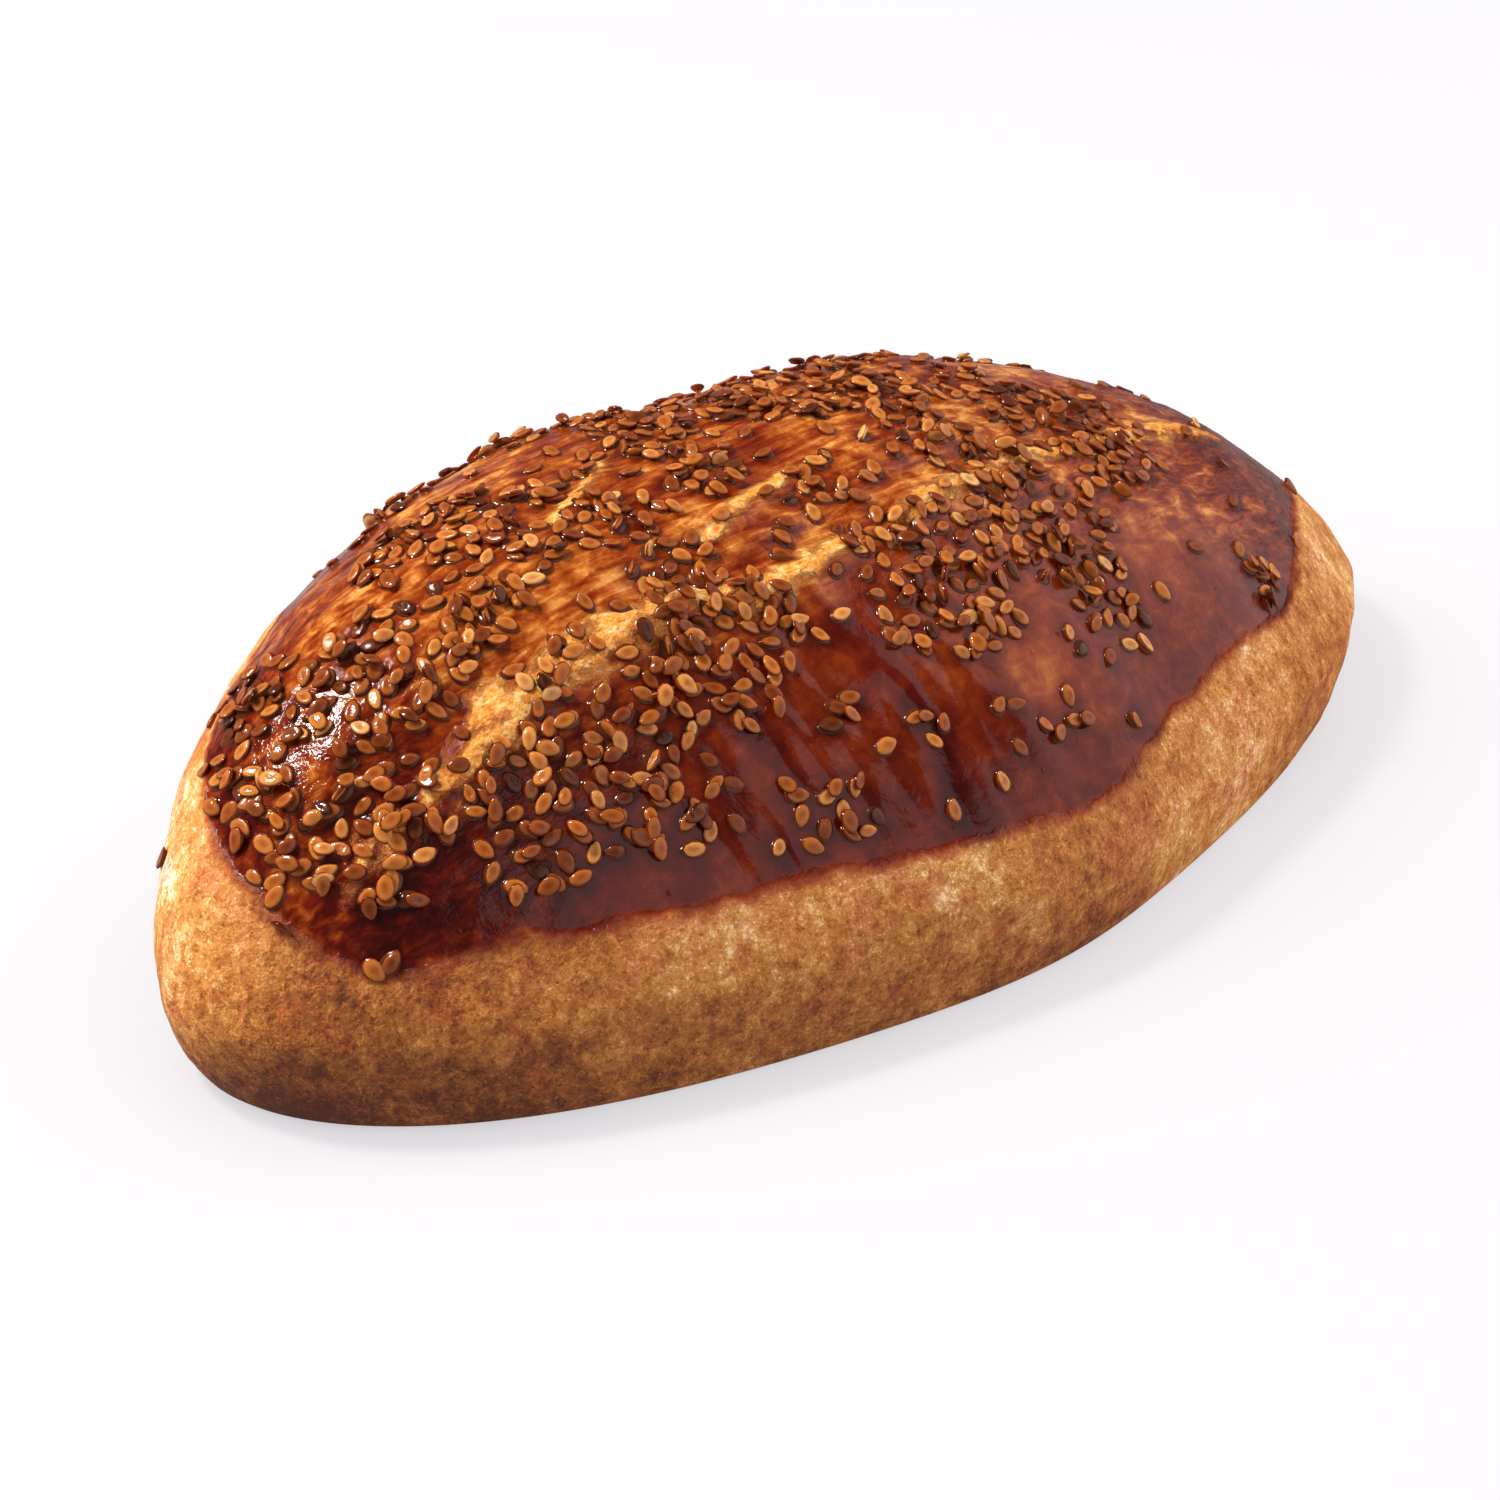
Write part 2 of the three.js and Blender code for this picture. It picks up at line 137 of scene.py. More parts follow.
SEED_TRIES = 14
SEED_EDGE_SHARE = 0.93

# The glaze's lower edge, in each direction. A way down the skin is 0 at the crown, RIM_SHARE
# at the widest and 1 at the foot.
GLAZE_EDGE_STOPS = [
    (-180, 0.547), (-170, 0.617), (-166, 0.64), (-157, 0.615), (-130, 0.605), (-105, 0.61),
    (-80, 0.633), (-62, 0.60), (-38, 0.575), (-28, 0.59), (-14, 0.54), (0, 0.56),
    (40, 0.60), (90, 0.61), (120, 0.60), (150, 0.50), (166, 0.41), (175, 0.505), (180, 0.547),
]
SKIN_PER_WAY = 95
EDGE_WANDER = 0.6

# What makes up the glaze's depth
GLAZE_DEPTH = {
    "usual": 0.73, "side": 1.0, "fold": -0.5, "fine fold": -0.2, "blotch": 0.4, "calm": 0.32,
    "wrinkled": 0.45, "run": 1.1, "edge": 0.2,
}
GLAZE_LEAST = 0.15

# Where the glaze lies thicker or thinner than around it
GLAZE_PATCHES = [
    {"at": (-76, -5), "half": (8, 5), "more": -0.7},
    {"at": (-53, -11), "half": (10, 4), "more": -0.9},
    {"at": (6, -38), "half": (12, 7), "more": -0.8},
    {"at": (62, -24), "half": (10, 6), "turn": 20, "more": -0.6},
    {"at": (-86, -11), "half": (6, 4), "turn": -40, "more": -1.3},
    {"at": (-57, -32), "half": (13, 6), "turn": -8, "more": -0.35},
    {"at": (-89, -3), "half": (2.5, 5), "more": 0.5},
    {"at": (-76, -22), "half": (13, 5), "turn": -30, "more": 1.1},
    {"at": (-60, -13), "half": (10, 2), "more": -0.3},
    {"at": (-48, -19), "half": (14, 4), "more": -0.4},
    {"at": (-16, -20), "half": (7, 2), "turn": 12, "more": 0.6},
    {"at": (-7, -9), "half": (6, 6), "more": 0.4},
    {"at": (20, -16), "half": (12, 5), "more": -0.15},
    {"at": (10, -24), "half": (14, 2), "more": -0.25},
    {"at": (36, -33), "half": (18, 5), "turn": 12, "more": -0.4},
    {"at": (74, -8), "half": (12, 5), "turn": 20, "more": 0.3},
]

# Where the bare crust is paler or browner than around it: partly its own baking, partly painted light
# and painted shade on the blunt end and the near side
CRUST_PATCHES = [
    # painted highlight: paler baking and the key light painted onto the top of the blunt end
    {"at": (-92, 12), "half": (9, 9), "more": 0.28},
    # painted shade low on the blunt end, along with browner baking there
    {"at": (-98, -14), "half": (15, 10), "more": -0.27},
    # painted shade low on the near side, along with browner baking there
    {"at": (-78, -26), "half": (14, 12), "more": -0.19},
    {"at": (-48, -41), "half": (26, 8), "more": 0.03},
    {"at": (8, -48), "half": (12, 8), "more": -0.28},
    {"at": (64, -32), "half": (18, 9), "turn": 30, "more": -0.18},
    {"at": (96, -6), "half": (12, 16), "more": 0.06},
]

# How pale the bare crust is above, at the foot of the blunt end and at the other foot; the browner feet
# are partly the crust's own baking and partly painted shade, most of all at the blunt end
UPPER_PALE = 0.62
FOOT_PALE = 0.34
SLIM_FOOT_PALE = 0.50

# Seeds that fell beside the glaze
EDGE_SEEDS = [(-89.9, 10.9), (-88.6, -10.2), (-89.4, -11.9), (-84.0, -20.3), (-82.3, -21.4)]

# The pale torn skin along the stretch marks
TEAR_REACH = 0.95

# Dents that run down the flank between the seeds
DENT_PLACE = -22
DENT_HALF = 22

# How high the fine forms of the crust stand, in millimetres
FINE_HIGH = {
    "fold": 0.28, "fine fold": 0.08, "wrinkle": 0.1, "dent": 0.9, "lump": 0.17, "calm lump": 0.05,
    "bare": 0.15, "bare lump": 0.3, "torn": 0.2,
}

# Camera of the picture: its place, the direction in which it looks and its lens
CAMERA_PLACE = (-289.85, -305.22, 243.97)
CAMERA_AZIMUTH = 47.5
CAMERA_ELEVATION = -29.0
CAMERA_LENS = 88.59
CAMERA_SENSOR = 36

# Where the lights aim, in metres
LIGHTS_AIM = Vector((0, 0, 0.03))

# The studio's white walls, in degrees from +X, and how brightly they shine
BACK_WALL_AZIMUTH = 47.5
BACK_WALL_LIGHT = 0.08
SIDE_WALL_AZIMUTH = -50
NOTCH_AZIMUTH = -49
SIDE_WALL_LIGHT = 0.68
STUDIO_LIGHT = 0.13

# The white floor: its tone, its glow beside the roll and further off, and its half size; the weaker
# glow beside the roll is a painted shadow
FLOOR_TONE = 0.14
FLOOR_GLOW = 0.565
FLOOR_GLOW_OPEN = 0.24
FLOOR_HALF = 3000


# Random numbers and the dough's form, the same as in the solid

def make_random(start):
    """A repeatable stream of numbers between 0 and 1."""
    state = start
    full = 0xFFFFFFFF

    def draw():
        nonlocal state
        state = (state + 0x6D2B79F5) & full
        mixed = ((state ^ (state >> 15)) * (1 | state)) & full
        mixed = ((mixed + (((mixed ^ (mixed >> 7)) * (61 | mixed)) & full)) & full) ^ mixed
        return ((mixed ^ (mixed >> 14)) & full) / 4294967296

    return draw


def smoothstep(edge0, edge1, value):
    share = np.clip((value - edge0) / (edge1 - edge0), 0, 1)
    return share * share * (3 - 2 * share)


def oval_radius(angle):
    c, s = np.cos(angle), np.sin(angle)
    along = np.abs(c / (LENGTH / 2)) ** OVAL_POWER
    across = np.abs(s / (WIDTH / 2)) ** OVAL_POWER
    skew = OVAL_SKEW * np.sin(2 * angle)
    flattening = OVAL_FLATTENING * (1 - np.cos(4 * angle)) / 2
    return (along + across) ** (-1 / OVAL_POWER) * (1 + skew - flattening)


def fullness(angle):
    c, s = np.cos(angle), np.sin(angle)
    lengthwise = FULL_BLUNT + (FULL_SLIM - FULL_BLUNT) * (1 + c) / 2
    crosswise = FULL_NEAR + (FULL_FAR - FULL_NEAR) * (1 + s) / 2
    return c * c * lengthwise + s * s * crosswise


def rounded_share(share):
    rounded = np.hypot(share, CROWN_ROUNDING) - CROWN_ROUNDING
    return rounded / (np.hypot(1, CROWN_ROUNDING) - CROWN_ROUNDING)


def leaned(x, y, level):
    up = np.maximum(level - RIM_LEVEL, 0)
    z = level * HEIGHT + CROWN_TILT * (x / (LENGTH / 2)) * up
    return np.stack([x, y + CROWN_LEAN * up + BOX_SHIFT, z], -1)


def dome_point(angle, share):
    reach = oval_radius(angle) * share
    fall = np.maximum(1 - rounded_share(share) ** fullness(angle), 0)
    level = RIM_LEVEL + (1 - RIM_LEVEL) * fall ** (1 / DOME_POWER)
    return leaned(reach * np.cos(angle), reach * np.sin(angle), level)


def foot_point(angle, rise):
    bulge = (1 - (1 - rise) ** FOOT_POWER) ** (1 / FOOT_POWER)
    reach = oval_radius(angle) * (FOOT_SHARE + (1 - FOOT_SHARE) * bulge)
    return leaned(reach * np.cos(angle), reach * np.sin(angle), RIM_LEVEL * rise)


def plan_share(x, y):
    return np.hypot(x, y) / oval_radius(np.arctan2(y, x))


def smooth_skin(x, y):
    return dome_point(np.arctan2(y, x), np.minimum(plan_share(x, y), 1))


def skin_normal(x, y):
    step = 0.2
    along_x = smooth_skin(x + step, y) - smooth_skin(x - step, y)
    along_y = smooth_skin(x, y + step) - smooth_skin(x, y - step)
    normal = np.cross(along_x, along_y)
    return normal / np.linalg.norm(normal, axis=-1, keepdims=True)


def make_swells():
    draw = make_random(RANDOM_START)
    swells = []
    for _ in range(SWELLS):
        heading = draw() * math.pi * 2
        wavelength = SWELL_SHORTEST + (SWELL_LONGEST - SWELL_SHORTEST) * draw()
        swells.append({
            "x": math.cos(heading) * math.pi * 2 / wavelength,
            "y": math.sin(heading) * math.pi * 2 / wavelength,
            "phase": draw() * math.pi * 2,
            "high": wavelength * SWELL_SLOPE,
        })
    return swells


SWELL_WAVES = make_swells()


def stretch_distances(mark, x, y):
    """How far a plan point lies beside a stretch mark and beyond its ends."""
    run_x = mark["to"][0] - mark["from"][0]
    run_y = mark["to"][1] - mark["from"][1]
    run = math.hypot(run_x, run_y)
    off_x, off_y = x - mark["from"][0], y - mark["from"][1]
    along = (off_x * run_x + off_y * run_y) / (run * run)
    inside = np.clip(along, 0, 1)
    side = (run_x * off_y - run_y * off_x) / run - mark["bow"] * 4 * inside * (1 - inside)
    return side, np.abs(along - inside) * run


def stretch_relief(mark, x, y):
    side, beyond = stretch_distances(mark, x, y)
    ridge = np.exp(-(side * side + beyond * beyond) / mark["half"] ** 2)
    furrow = np.exp(-((side - FURROW_OFFSET) ** 2 / 4 + beyond * beyond / 16))
    return mark["high"] * (ridge - FURROW_DEPTH * furrow)


def skin_relief(x, y):
    high = sum(w["high"] * np.sin(w["x"] * x + w["y"] * y + w["phase"]) for w in SWELL_WAVES)
    high = high + sum(stretch_relief(mark, x, y) for mark in STRETCH_MARKS)
    return high * (1 - smoothstep(RELIEF_FADE_START, 1, plan_share(x, y)))


def skin_point(x, y):
    return smooth_skin(x, y) + skin_normal(x, y) * skin_relief(x, y)[..., None]


# Fine forms of the skin

def fractal_at(points, size, octaves=4, offset=0.0):
    """Fractal noise of about -1 to 1 at points, with lumps of the given size."""
    shift = Vector((offset, offset * 0.7, -offset))
    values = [noise.fractal(Vector(p) + shift, 1.0, 2.0, octaves) for p in (points / size).tolist()]
    return np.array(values)


def strokes_at(x, y, long, wide, octaves=4, offset=0.0):
    """Fractal noise drawn out along the roll."""
    points = np.stack([x / long, y / wide, np.zeros_like(x)], -1)
    return fractal_at(points, 1.0, octaves, offset)


def tear_field(x, y, ragged):
    """1 in the middle of a stretch mark, falling to 0 at its ragged edge."""
    field = np.zeros_like(x)
    for mark in STRETCH_MARKS:
        side, beyond = stretch_distances(mark, x, y)
        reach = mark["half"] * TEAR_REACH
        far = np.hypot(side / reach, beyond / (reach * 2.5)) + ragged
        field = np.maximum(field, 1 - smoothstep(0.2, 1.4, far))
    return field


def patches_at(patches, x, y):
    """How much the patches of a list add at plan places."""
    total = np.zeros_like(x)
    for patch in patches:
        turn = math.radians(patch.get("turn", 0))
        off_x, off_y = x - patch["at"][0], y - patch["at"][1]
        along = (off_x * math.cos(turn) + off_y * math.sin(turn)) / patch["half"][0]
        across = (off_y * math.cos(turn) - off_x * math.sin(turn)) / patch["half"][1]
        total = total + patch["more"] * np.exp(-(along ** 2 + across ** 2))
    return total


def glaze_edge_way(angle):
    degrees, ways = zip(*GLAZE_EDGE_STOPS)
    return np.interp(np.degrees(angle), degrees, ways)


# The crust: one closed skin from the crown to the foot and across the underside

CRUST_RINGS = 143
UNDERSIDE_RINGS = 12
UNDERSIDE_HOLLOW = 0.12


def square_to_disc(u, v):
    """The turn and ring of a point of a square grid drawn into a disc."""
    quarter = math.pi / 4
    wide = np.abs(u) > np.abs(v)
    safe_u = np.where(u == 0, 1, u)
    safe_v = np.where(v == 0, 1, v)
    across = quarter * (v / safe_u) + np.where(u < 0, math.pi, 0)
    along = math.pi / 2 - quarter * (u / safe_v) + np.where(v < 0, math.pi, 0)
    return np.where(wide, across, along), np.maximum(np.abs(u), np.abs(v))


def crust_points():
    """Places, plan places, angles and ways of the skin's vertices."""
    side = np.arange(-CRUST_RINGS, CRUST_RINGS + 1, dtype=float)
    u, v = np.meshgrid(side, side)
    turn, ring = square_to_disc(u.ravel(), v.ravel())
    angle = np.arctan2(END_BUNCHING * np.sin(turn), np.cos(turn))
    way = ring / CRUST_RINGS
    upper = np.minimum(way / RIM_SHARE, 1)
    share = np.cos(math.pi / 2 * (1 - upper))
    reach = oval_radius(angle) * share
    x, y = reach * np.cos(angle), reach * np.sin(angle)
    rise = np.clip((1 - way) / (1 - RIM_SHARE), 0, 1)
    dome = way[:, None] < RIM_SHARE
    smooth = np.where(dome, dome_point(angle, share), foot_point(angle, rise))
    return smooth, x, y, angle, way


def outward(smooth, count):
    """Outward directions of a square grid of points."""
    grid = smooth.reshape(count, count, 3)
    along = np.gradient(grid, axis=1)
    across = np.gradient(grid, axis=0)
    normal = np.cross(along, across).reshape(-1, 3)
    return normal / np.maximum(np.linalg.norm(normal, axis=-1, keepdims=True), 1e-9)


def skin_zones(smooth, x, y, angle, way):
    """Where the glaze ends, and where it is on the crown, calm, wrinkled, dented or torn."""
    edge = (glaze_edge_way(angle) - way) * SKIN_PER_WAY
    edge = edge + EDGE_WANDER * fractal_at(smooth, 6.0, 2, 41.0)
    calm = smoothstep(20, 32, np.abs(y + 2)) * smoothstep(-78, -55, x)
    ragged = strokes_at(x, y, 4.5, 1.7, 5, 3.0)
    return {
        "edge": edge,
        "glazed": smoothstep(-0.6, 0.8, edge),
        "crown": 1 - smoothstep(0.25, 0.5, way),
        "calm": calm,
        "wrinkled": smoothstep(38, 66, x) * (1 - smoothstep(0.5, 0.6, way)),
        "dented": calm * np.exp(-((x - DENT_PLACE * np.sign(-y)) / DENT_HALF) ** 2),
        "tear": tear_field(x, y, ragged) * (way < RIM_SHARE),
    }


def skin_strokes(x, y):
    """Folds drawn out along the roll, and dents that run down its flank."""
    return {
        "folds": strokes_at(x, y, 17.0, 4.2, 3, 11.0),
        "fine_folds": strokes_at(x, y, 6.0, 1.5, 3, 23.0),
        "downhill": strokes_at(x + 0.3 * y, y, 7.0, 13.0, 3, 97.0),
    }


def fine_relief(smooth, way, zones, strokes):
    """How high the fine forms stand on the dough; they fade out at the foot."""
    folded = FINE_HIGH["fold"] * strokes["folds"] + FINE_HIGH["fine fold"] * strokes["fine_folds"]
    lump_high = FINE_HIGH["lump"] + (FINE_HIGH["calm lump"] - FINE_HIGH["lump"]) * zones["calm"]
    high = (0.1 + zones["crown"]) * folded + lump_high * fractal_at(smooth, 6.5, 3, 83.0)
    high = high + zones["wrinkled"] * FINE_HIGH["wrinkle"] * strokes["fine_folds"]
    high = high + zones["dented"] * FINE_HIGH["dent"] * strokes["downhill"]
    bare = FINE_HIGH["bare"] * fractal_at(smooth, 3.4, 4, 53.0)
    bare = bare + FINE_HIGH["bare lump"] * fractal_at(smooth, 11.0, 2, 61.0)
    torn = FINE_HIGH["torn"] * fractal_at(smooth, 1.3, 3, 71.0)
    high = zones["glazed"] * high + (1 - zones["glazed"]) * bare + zones["tear"] * torn
    return high * (1 - smoothstep(0.93, 1.0, way))


def glaze_depth(smooth, x, y, way, zones, strokes):
    """How deep the glaze lies: deeper down the side, in the runs and at its edge."""
    parts = {
        "usual": 1,
        "side": smoothstep(0.25, 0.55, way),
        "fold": strokes["folds"] * (0.3 + zones["crown"]),
        "fine fold": strokes["fine_folds"],
        "blotch": fractal_at(smooth, 9.0, 3, 31.0),
        "calm": zones["calm"],
        "wrinkled": zones["wrinkled"],
        "run": zones["dented"] * smoothstep(0.0, 0.35, strokes["downhill"]),
        "edge": np.exp(-((zones["edge"] - 3.5) / 2.5) ** 2),
    }
    depth = sum(GLAZE_DEPTH[name] * part for name, part in parts.items())
    return np.maximum(depth + patches_at(GLAZE_PATCHES, x, y), GLAZE_LEAST)


def crust_paleness(x, y, way):
    """How pale the bare crust is: browner towards the floor, most of all at the blunt end, partly as
    its own baking and partly as painted shade.
    """
    foot = FOOT_PALE + (SLIM_FOOT_PALE - FOOT_PALE) * smoothstep(-40, 20, x)
    upper = 1 - smoothstep(0.60, 0.98, way)
    return foot + (UPPER_PALE - foot) * upper + patches_at(CRUST_PATCHES, x, y)


def crust_fields(smooth, x, y, angle, way):
    """Relief height and the painted fields of the skin, by vertex."""
    zones = skin_zones(smooth, x, y, angle, way)
    strokes = skin_strokes(x, y)
    around = oval_radius(angle)
    return fine_relief(smooth, way, zones, strokes), {
        "glaze_edge": zones["edge"],
        "glaze_depth": glaze_depth(smooth, x, y, way, zones, strokes),
        "calm": zones["calm"],
        "wrinkled": zones["wrinkled"],
        "tear": zones["tear"],
        "way": way,
        "paler": crust_paleness(x, y, way),
        "round_x": around * np.cos(angle),
        "round_y": around * np.sin(angle),
    }


def add_attributes(mesh, fields):
    for name, values in fields.items():
        layer = mesh.attributes.new(name, "FLOAT", "POINT")
        layer.data.foreach_set("value", np.asarray(values, np.float32))


def mesh_object(name, points, faces, material):
    mesh = bpy.data.meshes.new(name)
    mesh.from_pydata((np.asarray(points) * MM).tolist(), [], faces)
    mesh.polygons.foreach_set("use_smooth", [True] * len(mesh.polygons))
    mesh.materials.append(material)
    piece = bpy.data.objects.new(name, mesh)
    bpy.context.scene.collection.objects.link(piece)
    return piece


def border_loop(count):
    """The border of a square grid in order, counter-clockwise from above."""
    last = count - 1
    loop = list(range(last))
    loop += [j * count + last for j in range(last)]
    loop += [last * count + i for i in range(last, 0, -1)]
    loop += [j * count for j in range(last, 0, -1)]
    return loop


def grid_faces(count):
    corners = [j * count + i for j in range(count - 1) for i in range(count - 1)]
    return [(a, a + 1, a + count + 1, a + count) for a in corners]


def underside(points, loop):
    """Points and faces of rings that shrink from the foot to the middle, a little hollow."""
    painted_edge_and_hollow_shade = points[loop]
    rows = [loop]
    under = []
    for ring in range(1, UNDERSIDE_RINGS):
        inner = painted_edge_and_hollow_shade * (1 - ring / UNDERSIDE_RINGS)
        start = len(points) + len(under)
        inner[:, 2] = UNDERSIDE_HOLLOW * smoothstep(0, 3, ring) * (1 + fractal_at(inner, 9.0, 3))
        under.extend(inner)
        rows.append(list(range(start, start + len(loop))))
    middle = len(points) + len(under)
    under.append(np.zeros(3))
    sides = [(i, (i + 1) % len(loop)) for i in range(len(loop))]
    faces = [(a[k], a[i], b[i], b[k]) for a, b in zip(rows, rows[1:]) for i, k in sides]
    faces += [(rows[-1][k], rows[-1][i], middle) for i, k in sides]
    return np.array(under), faces


def underside_fields(under):
    """The painted fields of the underside: bare crust, browner than the side."""
    return {
        "glaze_edge": -30.0, "glaze_depth": 0.5, "calm": 0.0, "wrinkled": 0.0, "tear": 0.0,
        "way": 1.1, "paler": 0.3, "round_x": under[:, 0], "round_y": under[:, 1],
    }


def make_crust(material):
    smooth, x, y, angle, way = crust_points()
    count = 2 * CRUST_RINGS + 1
    high, fields = crust_fields(smooth, x, y, angle, way)
    total = skin_relief(x, y) * (way < RIM_SHARE) + high
    points = smooth + outward(smooth, count) * total[:, None]
    points[:, 2] = np.where(way >= 1, 0, points[:, 2])
    under, under_faces = underside(points, border_loop(count))
    points = np.concatenate([points, under])
    faces = grid_faces(count) + under_faces
    for name, value in underside_fields(under).items():
        fields[name] = np.concatenate([fields[name], np.zeros(len(under)) + value])
    crust = mesh_object("crust", points, faces, material)
    add_attributes(crust.data, fields)
    return crust, (points, faces)


# Seeds: a first layer where the solid's rule puts it, and a second that leans on it

def draw_in_cluster(cluster, draw):
    heading = draw() * math.pi * 2
    out = draw() ** CLUSTER_DENSE_MIDDLE
    turn = math.radians(cluster.get("turn", 0))
    along = cluster["half"][0] * out * math.cos(heading)
    across = cluster["half"][1] * out * math.sin(heading)
    x = cluster["at"][0] + along * math.cos(turn) - across * math.sin(turn)
    y = cluster["at"][1] + along * math.sin(turn) + across * math.cos(turn)
    return x, y


def draw_anywhere(draw):
    angle = draw() * math.pi * 2
    reach = oval_radius(angle) * SEED_EDGE_SHARE * math.sqrt(draw())
    return reach * math.cos(angle), reach * math.sin(angle)


def seed_place(x, y):
    x, y = np.float64(x), np.float64(y)
    return {"at": skin_point(x, y), "plan": (x, y), "normal": skin_normal(x, y)}


def place_seed(draw_plan, placed, draw):
    for _ in range(SEED_TRIES):
        x, y = draw_plan(draw)
        if plan_share(x, y) >= SEED_EDGE_SHARE:
            continue
        place = seed_place(x, y)
        if placed and np.min(distances(placed, place["at"])) <= SEED_GAP:
            continue
        return {
            **place,
            "heading": draw() * math.pi * 2,
            "length": SEED_SHORTEST + (SEED_LONGEST - SEED_SHORTEST) * draw(),
            "pitch": SEED_TILT * (2 * draw() - 1),
            "roll": SEED_TILT * (2 * draw() - 1),
        }
    return None


def distances(placed, at):
    places = np.array([seed["at"] for seed in placed])
    return np.linalg.norm(places - at, axis=1)


def all_clusters():
    """All clusters, with the near flank's once more, turned half round."""
    over_x, over_y = FAR_FLANK_SHIFT
    far = [{**c, "at": (over_x - c["at"][0], over_y - c["at"][1])} for c in FLANK_CLUSTERS]
    return CROWN_CLUSTERS + FLANK_CLUSTERS + far


def edge_seeds():
    draw = make_random(RANDOM_START + 4)
    return [{
        **seed_place(x, y),
        "heading": draw() * math.pi * 2,
        "length": SEED_LONGEST, "pitch": 0, "roll": 0,
    } for x, y in EDGE_SEEDS]


def scatter_seeds():
    draw = make_random(RANDOM_START + 1)
    placed = []
    for cluster in all_clusters():
        for _ in range(cluster["seeds"]):
            seed = place_seed(lambda d: draw_in_cluster(cluster, d), placed, draw)
            if seed:
                placed.append(seed)
    for _ in range(LONE_SEEDS):
        seed = place_seed(draw_anywhere, placed, draw)
        if seed:
            placed.append(seed)
    return placed


# A seed's own form: a flat drop, polar rings over the top and under the bottom
SEED_AROUND = 12
SEED_TIP_POWER = 0.42
SEED_BELLY = 1.13
SEED_TOP_RINGS = (0.4, 0.75, 0.93, 1.0)
SEED_UNDER_RING = 0.75
SEED_DISH_REACH = 0.72
SEED_WIDTH_SHARE = 0.62
SEED_THICK_SHARE = 0.25
SEED_LIFT = 0.22
ON_EDGE_SHARE = 0.07
ON_EDGE_ROLL = 1.25
ON_EDGE_LIFT = 0.35
LEANING_SHARE = 0.42
DENSE_REACH = 4.0


def seed_outline(angle):
    """A drop with its tip at angle 0, half length and half width 1."""
    drop = np.abs(np.sin(angle / 2)) ** SEED_TIP_POWER
    return np.cos(angle), np.sin(angle) * drop * SEED_BELLY


def seed_dome(ring):
    """How high a seed of half thickness 1 is at a share of its reach."""
    return (1 - ring ** 2.6) ** 0.55


def seed_points(shape):
    """Vertices of one seed of unit half length, lying flat."""
    angle = np.arange(SEED_AROUND) / SEED_AROUND * 2 * math.pi
    out_x, out_y = seed_outline(angle)
    levels = []
    for ring in SEED_TOP_RINGS:
        hollow = shape["dish"] * max(0.0, 1 - (ring / SEED_DISH_REACH) ** 2)
        levels.append((ring, seed_dome(ring) - hollow))
    levels.append((SEED_UNDER_RING, -seed_dome(SEED_UNDER_RING)))
    rows = [[[0.0, 0.0, 1 - shape["dish"]]]]
    for ring, level in levels:
        row = [out_x * ring, out_y * ring * shape["wide"], np.full(SEED_AROUND, level)]
        rows.append(np.stack(row, -1))
    rows.append([[0.0, 0.0, -1.0]])
    points = np.concatenate(rows) * (1, 1, shape["thick"])
    points[:, 1] += shape["bend"] * (1 - points[:, 0] ** 2)
    points[:, 2] += shape["curl"] * points[:, 0] ** 2
    return points


def shifted(faces, start):
    """Faces whose vertices start later."""
    return [tuple(v + start for v in face) for face in faces]


def lens_faces(around, rings):
    """Faces of a closed lens: a middle above, rings and a middle below."""
    last = 1 + rings * around
    faces = []
    for i in range(around):
        k = (i + 1) % around
        faces.append((0, 1 + i, 1 + k))
        for a in range(1, last - around, around):
            faces.append((a + i, a + around + i, a + around + k, a + k))
        faces.append((last, last - around + k, last - around + i))
    return faces


def seed_axes(seed):
    """The directions of a seed's length, width and thickness."""
    normal = Vector(seed["normal"])
    forward = Vector((1, 0, 0)) - normal * normal.x
    forward.normalize()
    side = normal.cross(forward)
    basis = Matrix((forward, side, normal)).transposed()
    turn = Matrix.Rotation(seed["heading"], 3, "Z")
    pitch = Matrix.Rotation(seed["pitch"], 3, "Y")
    roll = Matrix.Rotation(seed["roll"], 3, "X")
    return np.array(basis @ turn @ pitch @ roll)


def seat(seed, tree):
    """Moves a seed along its normal onto the crust, and gives it back."""
    normal = Vector(seed["normal"])
    start = (Vector(seed["at"]) + normal * 5) * MM
    hit, _, _, _ = tree.ray_cast(start, -normal)
    if hit is not None:
        seed["at"] = np.array(hit) / MM
    return seed


def leaning_seeds(placed, draw):
    """Rough places of seeds that lie across the others in the dense clusters."""
    leaning = []
    for seed in placed:
        near = np.sum(distances(placed, seed["at"]) < DENSE_REACH) - 1
        if near < 2 or draw() > LEANING_SHARE:
            continue
        heading = draw() * math.pi * 2
        axes = seed_axes({**seed, "heading": heading, "pitch": 0, "roll": 0})
        leaning.append({
            **seed,
            "at": seed["at"] + axes[:, 0] * (0.7 + 1.3 * draw()),
            "heading": heading,
            "length": SEED_SHORTEST + (SEED_LONGEST - SEED_SHORTEST) * draw(),
            "pitch": 0,
            "roll": 0,
        })
    return leaning


def height_over(tree, seed, offset):
    """How high what lies under a place beside the seed's middle reaches."""
    normal = Vector(seed["normal"])
    start = (Vector(seed["at"] + offset) + normal * 5) * MM
    hit, _, _, far = tree.ray_cast(start, -normal)
    return 0.0 if hit is None else 5 - far / MM


